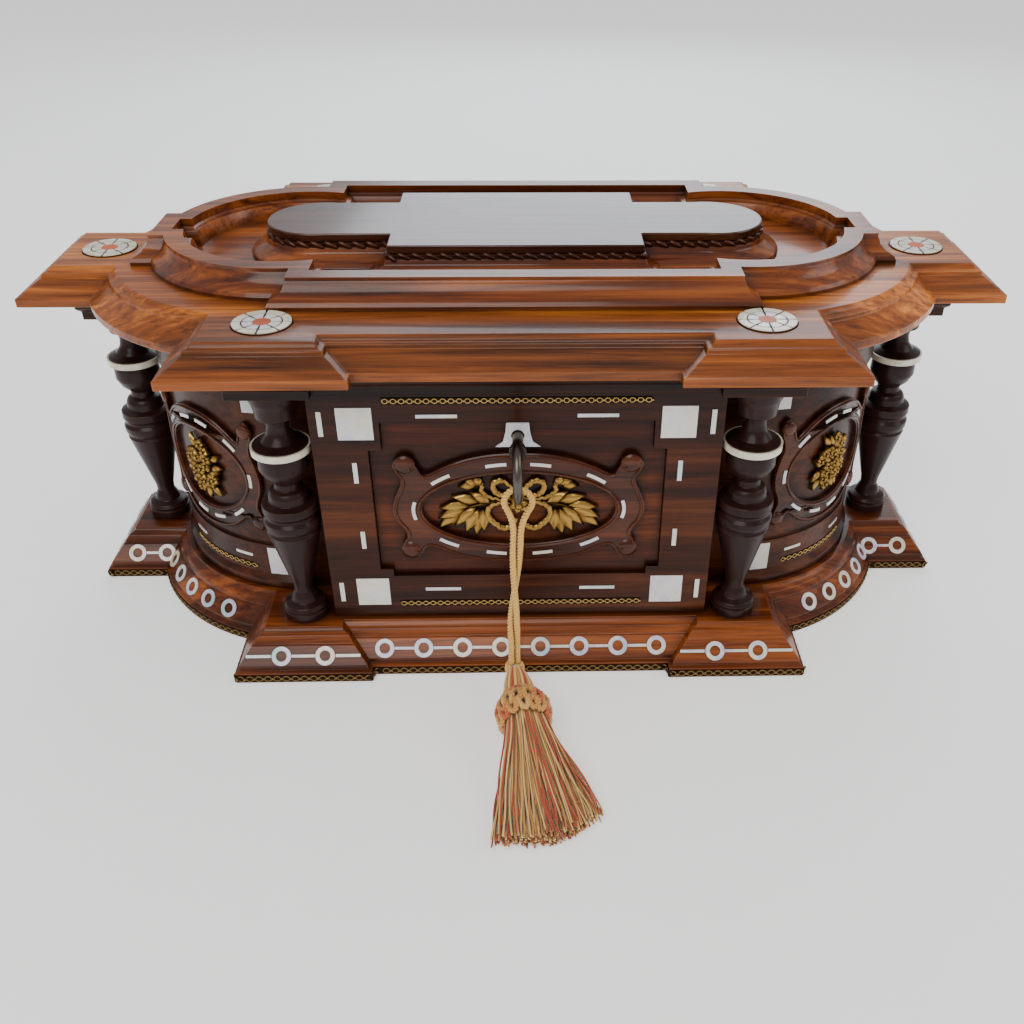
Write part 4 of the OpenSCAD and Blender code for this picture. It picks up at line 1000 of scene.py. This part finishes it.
def laid_rope(shell, route, ply_radius, turn_radius, lay, step, sides=7, tint=0.5, phase=0.0):
    """Three plies wound round a route"""
    plies = 3
    fine = smooth_route(route, step)
    frames = frames_along(fine)
    for p in range(plies):
        path = []
        for i, (at, (side, lift)) in enumerate(zip(fine, frames)):
            turn = phase + math.tau * (i * step / lay + p / plies)
            path.append(at + turn_radius * (math.cos(turn) * side + math.sin(turn) * lift))
        shell.tube(path, ply_radius, sides=sides, tint=tint)


def tassel_place(along, across, up):
    """A place by distance from the knot toward the viewer, across, and height over the ground"""
    turn = math.radians(8)
    ahead = Vector((math.sin(turn), -math.cos(turn), 0))
    side = Vector((math.cos(turn), math.sin(turn), 0))
    at = Vector((KNOT.x, KNOT.y, 0)) + ahead * along + side * across
    return Vector((at.x, at.y, up))


class CASKET_OT_cord(bpy.types.Operator):
    """Rope over the key's ring, with its knot and tassel"""
    bl_idname = "casket.cord"
    bl_label = "Cord and tassel"

    def execute(self, context):
        cord = context.scene.casket_cord
        rope, yarn = finish("rope"), finish("yarn")
        chance = random.Random(cord.seed)
        pieces = [self.knot(rope), self.head(yarn), self.collar(yarn, chance)]
        self.skirt(cord.strands, yarn, chance)
        for s, name in ((1, "right"), (-1, "left")):
            route = strand_route(s)
            shell = Shell()
            laid_rope(shell, route, 0.74 * MM, 0.76 * MM, 5.2 * MM, 0.7 * MM, phase=0.8 if s > 0 else 2.2)
            strand = shell.made("key_rope_" + name, rope)
            strand.data.shade_smooth()
            even = smooth_route(route, 1.5 * MM)
            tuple(route[0])
            length_of(route)
            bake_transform(strand, "case", "key", (0, BOW_Y, 70 * MM), (0, BOW_Y, 104 * MM))
            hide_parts("key_cord", "key_cord_loop")
        return {"FINISHED"}

    def knot(self, rope):
        """Three loops of rope round a ball"""
        shell = Shell()
        for k in range(3):
            lean = Matrix.Rotation(math.radians(38), 3, "X")
            tilt = Matrix.Rotation(math.radians(60 * k), 3, "Z") @ lean
            ring = [KNOT + tilt @ (Vector((math.cos(a), math.sin(a), 0)) * 3.3 * MM) for a in turns(22)]
            laid_rope(shell, ring + [ring[0]], 0.85 * MM, 0.75 * MM, 5 * MM, 0.7 * MM)
        shell.ball(KNOT, 3.1 * MM, 8, 12)
        knot = settle(shell.made("tassel_knot_tied", rope), "case", "gold_cord", "tassel_knot")
        knot.data.shade_smooth()
        return knot

    def head(self, yarn):
        """Yarns laid side by side, from the knot out to the collar"""
        shell = Shell()
        for k, a in enumerate(turns(26)):
            path = []
            for i in range(13):
                t = i / 12
                r = (2.6 + 4.6 * math.sin(math.pi / 2 * t) ** 0.8) * MM
                centre = KNOT.z - 1.2 * MM * t
                path.append(tassel_place((2.0 + 22.0 * t) * MM, r * math.cos(a + 0.2 * t),
                                         centre + r * math.sin(a + 0.2 * t)))
            shell.tube(path, 0.85 * MM, sides=7, tint=HEAD_TINTS[k % 4])
        core = [tassel_place((2 + 22.0 * i / 6) * MM, 0, KNOT.z - 1.2 * MM * i / 6) for i in range(7)]
        widths = [(2.4 + 4.4 * math.sin(math.pi / 2 * i / 6)) * MM for i in range(7)]
        shell.tube(core, widths, sides=20, tint=0.3)
        head = settle(shell.made("tassel_head_yarn", yarn), "case", "tassel_yarn", "tassel_head")
        head.data.shade_smooth()
        return head

    def collar(self, yarn, chance):
        """Three rows of looped rope round the tassel's neck"""
        shell = Shell()
        rows = ((25.5, 8.4, 14), (29.5, 10.4, 16), (33.5, 10.0, 15))
        for row, (along, r, count) in enumerate(rows):
            for k in range(count):
                a = math.tau * (k + row * 0.5) / count + chance.uniform(-0.04, 0.04)
                lean = chance.uniform(-0.2, 0.2)
                lo = along - 3.8
                route = []
                for i in range(17):
                    b = math.tau * i / 16
                    out = r + 1.5 * math.sin(b) ** 2
                    around = a + (2.0 / r) * math.sin(b) + lean * (0.5 - 0.5 * math.cos(b)) * 0.3
                    along_by = lo + 3.8 * (1 - math.cos(b))
                    lift = max(TASSEL_Z + out * math.sin(around), 1.5)
                    route.append(tassel_place(along_by * MM, out * MM * math.cos(around), lift * MM))
                laid_rope(shell, route, 0.86 * MM, 0.74 * MM, 4.6 * MM, 0.8 * MM, sides=5,
                          tint=COLLAR_TINTS[(k + 2 * row) % 5], phase=k)
        core = [tassel_place(along * MM, 0, TASSEL_Z * MM) for along in (22, 23.5, 29.5, 36, 37.5)]
        shell.tube(core, [r * MM for r in (6.5, 8.4, 9.8, 9.2, 7.5)], sides=24, tint=0.3)
        ruff = settle(shell.made("tassel_collar_rope", yarn), "case", "tassel_yarn", "tassel_collar")
        ruff.data.shade_smooth()
        return ruff

    def skirt(self, strands, yarn, chance):
        """Loose yarns, fanned out and sinking to the ground"""
        points, edges, tints = [], [], []
        steps = 18
        for n in range(strands):
            a = math.tau * chance.random()
            deep = math.sqrt(chance.random())
            u = SKIRT_R * deep * math.cos(a)
            v = SKIRT_R * deep * math.sin(a)
            reach = 59.5 + 3.5 * chance.random() - 12 * max(0.0, u / SKIRT_R) ** 1.5
            reach -= 3 * max(0.0, -u / SKIRT_R)
            fan = math.radians(1.6 * u + 1.5 + chance.uniform(-3.5, 3.5))
            spread_to = u + reach * math.tan(fan)
            settle_at = 0.9 + (v + SKIRT_R) / (2 * SKIRT_R) * (6.0 + 2 * chance.random())
            wave, phase, often = chance.uniform(0.3, 1.9), chance.uniform(0, 6), chance.uniform(4, 10)
            tuft = round(4 * (a + 0.6 * deep))
            if chance.random() < 0.55:
                tint = TUFT_TINTS[(tuft * 5) % 8]
            else:
                tint = chance.choice(STRAY_TINTS)
            first = len(points)
            for i in range(steps + 1):
                t = i / steps
                fall = t * t * (3 - 2 * t)
                across = u + (spread_to - u) * (0.5 * t + 0.5 * fall) + wave * math.sin(often * t + phase) * t
                up = (TASSEL_Z + v) * (1 - fall) ** 1.15 + settle_at * fall + 0.4 * math.sin(8 * t + phase)
                points.append(tassel_place((35 + reach * t) * MM, across * MM, max(up, 0.6) * MM))
                tints.append(min(1.0, max(0.0, tint + 0.05 * math.sin(phase))))
            edges += [(first + i, first + i + 1) for i in range(steps)]
        skirt = grown("tassel_skirt_yarn", points, edges, yarn_works(), Thickness=0.42 * MM, Sides=4,
                      Finish=yarn, tints=tints)
        settle(skirt, "case", "tassel_yarn", "tassel_skirt")


# ---------------------------------------------------------------- case, lid and inlay

class CASKET_OT_woods(bpy.types.Operator):
    """Polished woods of the case: frames, panels, mouldings, end walls and columns"""
    bl_idname = "casket.woods"
    bl_label = "Case woods"

    def execute(self, context):
        edge = context.scene.casket_woods.edge
        for node in ("front_frame", "back_frame"):
            polished(node, finish("rosewood_wall"), edge)
        for node in ("front_panel", "back_panel"):
            polished(node, finish("rosewood_panel"), edge)
        for node in ("end_wall_left", "end_wall_right", "cornice"):
            polished(node, finish("rosewood_wall"), edge, 30)
        polished("plinth_frame", finish("rosewood_plinth"), edge)
        for node in ("partitions", "base_board"):
            NODES[node].data.materials[0] = finish("rosewood_inside")
        for node in NODES:
            if node.startswith("column_") and node != "column_pearl_rings":
                polished(node, finish("ebonised"), 0.6 * edge, 28)
        return {"FINISHED"}


class CASKET_OT_lid(bpy.types.Operator):
    """Stepped lid with its gallery, plaque, carved edge and rosettes"""
    bl_idname = "casket.lid"
    bl_label = "Lid"

    def execute(self, context):
        edge = context.scene.casket_woods.edge
        inlay = context.scene.casket_inlay
        polished("lid_frame", finish("rosewood"), 1.3 * edge, 26)
        polished("gallery_rim", finish("rosewood_rim"), edge, 30)
        polished("pedestal", finish("rosewood_rim"), edge, 30)
        polished("plaque", finish("rosewood_plaque"), 1.6 * edge, 30)
        polished("lid_panel", finish("rosewood_rim"))
        NODES["lid_lining"].data.materials[0] = finish("baize")
        polished("gadroon_edge", finish("ebonised"), name="gadroon_ground")
        low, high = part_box("gadroon_edge")
        path = self.plaque_path((low.z + high.z) / 2)
        lobes = grown("gadroon_lobes", path, chain(path, True), lobe_works(), Pitch=inlay.gadroon,
                      Height=2.4 * MM, Depth=2.4 * MM, Finish=finish("rosewood_carved"))
        settle(lobes, "lid", "dark_rosewood")
        self.rosettes()
        return {"FINISHED"}

    def plaque_path(self, z):
        """The plaque's outline, just outside its edge, at one height"""
        low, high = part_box("plaque")
        hx, hy, r = 58.2 * MM, high.y + 0.2 * MM, 24.7 * MM
        arc_x = high.x - 24.5 * MM
        right = [(hx, -hy), (hx, -r), *[(arc_x + r * math.cos(a), r * math.sin(a))
                 for a in [math.pi * (i / 14 - 0.5) for i in range(15)]], (hx, r), (hx, hy)]
        around = right + [(-x, -y) for x, y in right]
        return [(x, y, z) for x, y in around]

    def rosettes(self):
        """Shell rims, petals and hearts let into the lid's discs"""
        low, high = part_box("rosettes")
        r = (high.x - middle("column_side_right").x) + 1 * MM
        base = high.z
        side_x = high.x - r
        front_y = high.y - r
        places = [(sx * END_X, sy * front_y) for sx in (-1, 1) for sy in (-1, 1)]
        places += [(-side_x, 0), (side_x, 0)]
        arcs, petals, hearts = Shell(), Shell(), Shell()
        for x, y in places:
            def put(u, v, lift, x=x, y=y):
                return Vector((x + u, y + v, base + lift))
            for k in range(8):
                a = math.tau * (k + 0.5) / 8
                self.sector(arcs, put, a, 0.35, 0.70 * r, 0.98 * r)
                self.sector(petals, put, a, 0.315, 0.31 * r, 0.645 * r)
            heart = [(0.3 * r * math.cos(t), 0.3 * r * math.sin(t)) for t in turns(28)]
            hearts.slab(heart, 0.4 * MM, put)
        settle(arcs.made("rosette_rims", finish("bone")), "lid", "mother_of_pearl", "rosettes")
        settle(petals.made("rosette_petals", finish("pearl")), "lid", "mother_of_pearl", "rosettes")
        settle(hearts.made("rosette_hearts", finish("terracotta")), "lid", "rosewood", "rosettes")
        polished("rosettes", finish("ebonised"), name="rosette_discs")

    def sector(self, shell, put, at, half, inner, outer):
        """One inlaid piece of a ring"""
        arc = [at + half * (i / 5 - 1) for i in range(11)]
        outline = [(outer * math.cos(t), outer * math.sin(t)) for t in arc]
        outline += [(inner * math.cos(t), inner * math.sin(t)) for t in reversed(arc)]
        shell.slab(outline, 0.35 * MM, put)


class CASKET_OT_inlay(bpy.types.Operator):
    """Pearl, stamped brass ribbons and gilt mounts"""
    bl_idname = "casket.inlay"
    bl_label = "Inlay and mounts"

    def execute(self, context):
        for node in ("wall_pearl", "escutcheon"):
            polished(node, finish("pearl"), 0.12 * MM, 30)
        polished("plinth_pearl", finish("pearl_bright"), 0.12 * MM, 30)
        NODES["column_pearl_rings"].data.materials[0] = finish("bone")
        NODES["plinth_brass_band"].data.materials[0] = finish("ribbon_ground")
        NODES["wall_brass_strips"].data.materials[0] = finish("ribbon_ground")
        self.ribbons(context.scene.casket_inlay)
        self.straps()
        self.bars()

        gilt = Shell()
        for back in (False, True):
            laurel(gilt, lambda u, v, lift, back=back: on_front(u, v - 1 * MM, lift, back))
        chance = random.Random(3)
        for s, turned in QUARTERS:
            posy(gilt, on_end(s, turned), chance)
        gilt = gilt.made("gilt_laurels", finish("gilt"), 60)
        settle(gilt, "case", "gilt_brass", "gilt_mounts")
        return {"FINISHED"}

    def ribbons(self, inlay):
        """Stamped brass round the foot and along the walls"""
        works = ribbon_works()
        low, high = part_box("plinth_brass_band")
        foot = plan(high.x, high.y, r=95.3 * MM, block=66.6 * MM, step=5 * MM, lift=(low.z + high.z) / 2)
        band = grown("plinth_ribbon", foot, chain(foot, True), works, Pitch=inlay.link,
                     Height=(high.z - low.z) * 1.05, Wire=0.36 * MM, Finish=finish("ribbon_worn"))
        settle(band, "case", "gilt_brass")
        low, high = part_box("wall_brass_strips")
        points, edges = [], []
        for y in (low.y, high.y):
            for z in (low.z + 1.5 * MM, high.z - 1.5 * MM):
                points += [(low.x + 1.5 * MM, y, z), (high.x - 1.5 * MM, y, z)]
                edges.append((len(points) - 2, len(points) - 1))
        ground = Shell()
        for s, turned in QUARTERS:
            place = on_end(s, turned)
            foot_v = low.z + 3.5 * MM - OVAL_Z
            line = [-22 * MM + 44 * MM * i / 14 for i in range(15)]
            start = len(points)
            points += [tuple(place(u, foot_v, 1.7 * MM)) for u in line]
            edges += [(start + i, start + i + 1) for i in range(14)]
            rim = [(u, foot_v - 1.6 * MM) for u in line] + [(u, foot_v + 1.6 * MM) for u in reversed(line)]
            ground.slab(rim, 0.35 * MM, lambda u, v, lift, place=place: place(u, v, 1.35 * MM + lift))
        settle(ground.made("round_wall_grounds", finish("ribbon_ground")), "case", "gilt_brass")
        strips = grown("wall_ribbons", points, edges, works, Pitch=inlay.link * 0.8, Height=2.8 * MM,
                       Wire=0.3 * MM, Finish=finish("ribbon"))
        settle(strips, "case", "gilt_brass")

    def straps(self):
        """Strapwork on the front, the back and the round walls"""
        straps = Shell()
        for back in (False, True):
            strap_plate(straps, partial(on_front, back=back), 1.0, 1.0, STRAP_THICK)
        for s, turned in QUARTERS:
            strap_plate(straps, on_end(s, turned), 0.60, 1.10, END_STRAP_THICK)
        settle(straps.made("strapwork_plates", finish("rosewood_carved"), 40), "case", "dark_rosewood",
               "cartouches")

    def bars(self):
        """Pearl bars round each oval, at each wall's foot and on the plinth's blocks"""
        bars = Shell()
        for mirror in (1, -1):
            for centre in (78, 43, 0, -47, -77):
                for back in (False, True):
                    bar_on_ellipse(bars, partial(on_front, back=back), 48.2 * MM, 24.2 * MM,
                                   math.radians(centre), 4.7 * MM, 0.8 * MM, STRAP_THICK, mirror)
                for s, turned in QUARTERS:
                    bar_on_ellipse(bars, on_end(s, turned), 29.2 * MM, 26.4 * MM, math.radians(centre),
                                   3.6 * MM, 0.8 * MM, END_STRAP_THICK, mirror)
        for s, turned in QUARTERS:
            wall = on_end(s, turned)
            for u in (-17, 17):
                rim = [((u + k) * MM, -45.5 * MM) for k in (-5, -2, 2, 5)]
                rim += [((u + k) * MM, -44 * MM) for k in (5, 2, -2, -5)]
                bars.slab(rim, 0.4 * MM, lambda u, v, lift, wall=wall: wall(u, v, 1.35 * MM + lift))
        self.plinth_bars(bars)
        settle(bars.made("pearl_bars", finish("pearl")), "case", "mother_of_pearl")

    def plinth_bars(self, bars):
        """Bars from the outer rings to the edges of the plinth's corner blocks"""
        slope = math.atan2(7.6, 6.3)
        for side in (1, -1):
            for s in (1, -1):
                def place(u, v, lift, s=s, side=side):
                    out = math.sin(slope) * lift - math.cos(slope) * v
                    y = PLINTH_HIGH.y - 5.15 * MM + out
                    z = 12.2 * MM + math.sin(slope) * v + math.cos(slope) * lift
                    return Vector((s * END_X + u, -side * y, z))
                for way in (1, -1):
                    near, far = sorted((way * 15.6 * MM, way * 27.5 * MM))
                    half = 0.7 * MM
                    rim = [(near, -half), (far, -half), (far, half), (near, half)]
                    bars.slab(rim, 0.35 * MM, place)


class CASKET_OT_lock(bpy.types.Operator):
    """Key, lock and hinges"""
    bl_idname = "casket.lock"
    bl_label = "Lock and hinges"

    def execute(self, context):
        polished("lock_key", finish("key_iron"), 0.25 * MM, 40)
        for node in ("lock_case", "link_plate", "hinge_case_leaves", "hinge_lid_leaves"):
            NODES[node].data.materials[0] = finish("brass")
        for node in ("lock_bolt", "hinge_pins"):
            NODES[node].data.materials[0] = finish("steel")
        return {"FINISHED"}


class CASKET_OT_movement(bpy.types.Operator):
    """Brass and steel of the movement, with the cylinder's pins"""
    bl_idname = "casket.movement"
    bl_label = "Movement"

    def execute(self, context):
        by_slot = {"brass": "brass", "gilt_brass": "brass", "steel": "steel", "dark_steel": "key_iron",
                   "blued_steel": "blued", "glass": "glass"}
        for node in ("bedplate", "bearing_cock", "comb_rail", "music_comb", "comb_screws", "barrel_bridge",
                     "spring_barrel", "winding_arbor", "winding_key", "music_cylinder", "governor_frame",
                     "governor_wheel", "governor_fly", "stop_lever", "glass_cover"):
            NODES[node].data.materials[0] = finish(by_slot[SLOT_OF[node]])
        self.pins()
        return {"FINISHED"}

    def pins(self):
        """Pins of a made-up tune, in a ring for each tooth of the comb"""
        low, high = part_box("music_comb")
        y, z = middle("music_cylinder").y, joint_height("cylinder_turn")
        chance = random.Random(5)
        points, outs = [], []
        teeth, beats = 36, 60
        for tooth in range(teeth):
            x = low.x + (high.x - low.x) * (tooth + 0.5) / teeth
            for step in range(beats):
                if chance.random() < 0.30:
                    turn = math.tau * (step + chance.uniform(-0.2, 0.2)) / beats
                    out = Vector((0, math.cos(turn), math.sin(turn)))
                    points.append(Vector((x, y, z)) + out * (DRUM_R + 0.3 * MM))
                    outs.append(out)
        pins = grown("cylinder_pins", points, [], stud_works(), Height=0.9 * MM, Radius=0.22 * MM,
                     Finish=finish("steel"), outward=outs)
        settle(pins, "cylinder", "steel")


# ---------------------------------------------------------------- stage

CAMERA_AT = (0.00401, -0.50799, 0.34373)
CAMERA_TURN = (1.785, 35.681, 0.435)            # degrees right, down and rolled


class CASKET_OT_stage(bpy.types.Operator):
    """Camera, pale floor and soft lights"""
    bl_idname = "casket.stage"
    bl_label = "Camera and stage"

    def execute(self, context):
        scene = context.scene
        settings = scene.casket_stage
        camera = bpy.data.objects.new("camera", bpy.data.cameras.new("camera"))
        scene.collection.objects.link(camera)
        yaw, pitch, roll = (math.radians(a) for a in CAMERA_TURN)
        ahead = Vector((math.sin(yaw) * math.cos(pitch), math.cos(yaw) * math.cos(pitch), -math.sin(pitch)))
        right = Vector((math.cos(yaw), -math.sin(yaw), 0))
        up = right.cross(ahead)
        side = math.cos(roll) * right + math.sin(roll) * up
        top = math.cos(roll) * up - math.sin(roll) * right
        turn = Matrix((side, top, -ahead)).transposed().to_4x4()
        camera.matrix_world = Matrix.Translation(CAMERA_AT) @ turn
        camera.data.lens = settings.lens
        camera.data.sensor_width = 36
        camera.data.shift_x, camera.data.shift_y = -0.0420, 0.0550
        camera.data.clip_start = 0.01
        scene.camera = camera

        floor = self.floor()
        lights = [
            self.light("key_light", (-0.35, -1.0, 1.25), 0.08, 1.1, settings.key, (1.0, 0.97, 0.93)),
            self.light("window_light", (0.15, 1.25, 0.95), 0.15, 1.2, settings.back, (0.86, 0.93, 1.0)),
            self.light("side_light", (1.1, -0.2, 0.8), 0.08, 0.7, settings.key * 0.25, (1.0, 0.95, 0.9)),
        ]
        world = bpy.data.worlds.new("pale_room")
        scene.world = world
        world.use_nodes = True
        sky = world.node_tree.nodes["Background"]
        sky.inputs["Color"].default_value = (0.95, 0.95, 0.97, 1)
        sky.inputs["Strength"].default_value = 0.6
        return {"FINISHED"}

    def floor(self):
        """A wide pale ground"""
        s = Sheet("pale_floor")
        grain = s.noise(s.place, 60.0, 4.0)
        s.set(Base_Color=s.mix(grain, (0.86, 0.86, 0.855), (0.90, 0.90, 0.895)), Roughness=0.8 + grain * 0.1,
              Emission_Color=(1.0, 1.0, 1.0), Emission_Strength=0.5)
        size = 3.0
        points = [(-size, -size, 0), (size, -size, 0), (size, size, 0), (-size, size, 0)]
        return piece_from("floor", points, [[0, 1, 2, 3]], s.material)

    def light(self, name, at, toward_z, size, power, colour):
        """A round soft light, turned to a height on the casket's middle line"""
        data = bpy.data.lights.new(name, "AREA")
        data.shape, data.size, data.energy, data.color = "DISK", size, power, colour
        obj = bpy.data.objects.new(name, data)
        bpy.context.scene.collection.objects.link(obj)
        ahead = Vector((0, 0, toward_z)) - Vector(at)
        obj.matrix_world = Matrix.Translation(at) @ ahead.to_track_quat("-Z", "Y").to_matrix().to_4x4()
        return obj


class CASKET_PT_side(bpy.types.Panel):
    """The casket's settings and steps"""
    bl_idname = "CASKET_PT_side"
    bl_label = "Rosewood casket"
    bl_space_type = "VIEW_3D"
    bl_region_type = "UI"
    bl_category = "Casket"

    def draw(self, context):
        for group in GROUPS:
            settings = getattr(context.scene, group)
            box = self.layout.box()
            for name in settings.__annotations__:
                box.prop(settings, name)
        for step in STEPS:
            self.layout.operator(step.bl_idname)


GROUPS = {"casket_woods": CasketWoods, "casket_inlay": CasketInlay, "casket_cord": CasketCord,
          "casket_stage": CasketStage}
STEPS = [CASKET_OT_stage, CASKET_OT_cord, CASKET_OT_woods, CASKET_OT_lid, CASKET_OT_inlay, CASKET_OT_lock,
         CASKET_OT_movement]
CLASSES = [*GROUPS.values(), *STEPS, CASKET_PT_side]


def register():
    for made in CLASSES:
        bpy.utils.register_class(made)
    for name, group in GROUPS.items():
        setattr(bpy.types.Scene, name, bpy.props.PointerProperty(type=group))


def unregister():
    for name in GROUPS:
        delattr(bpy.types.Scene, name)
    for made in reversed(CLASSES):
        bpy.utils.unregister_class(made)


def main():
    register()
    for step in STEPS:
        area, name = step.bl_idname.split(".")
        getattr(getattr(bpy.ops, area), name)()


if __name__ == "__main__":
    main()
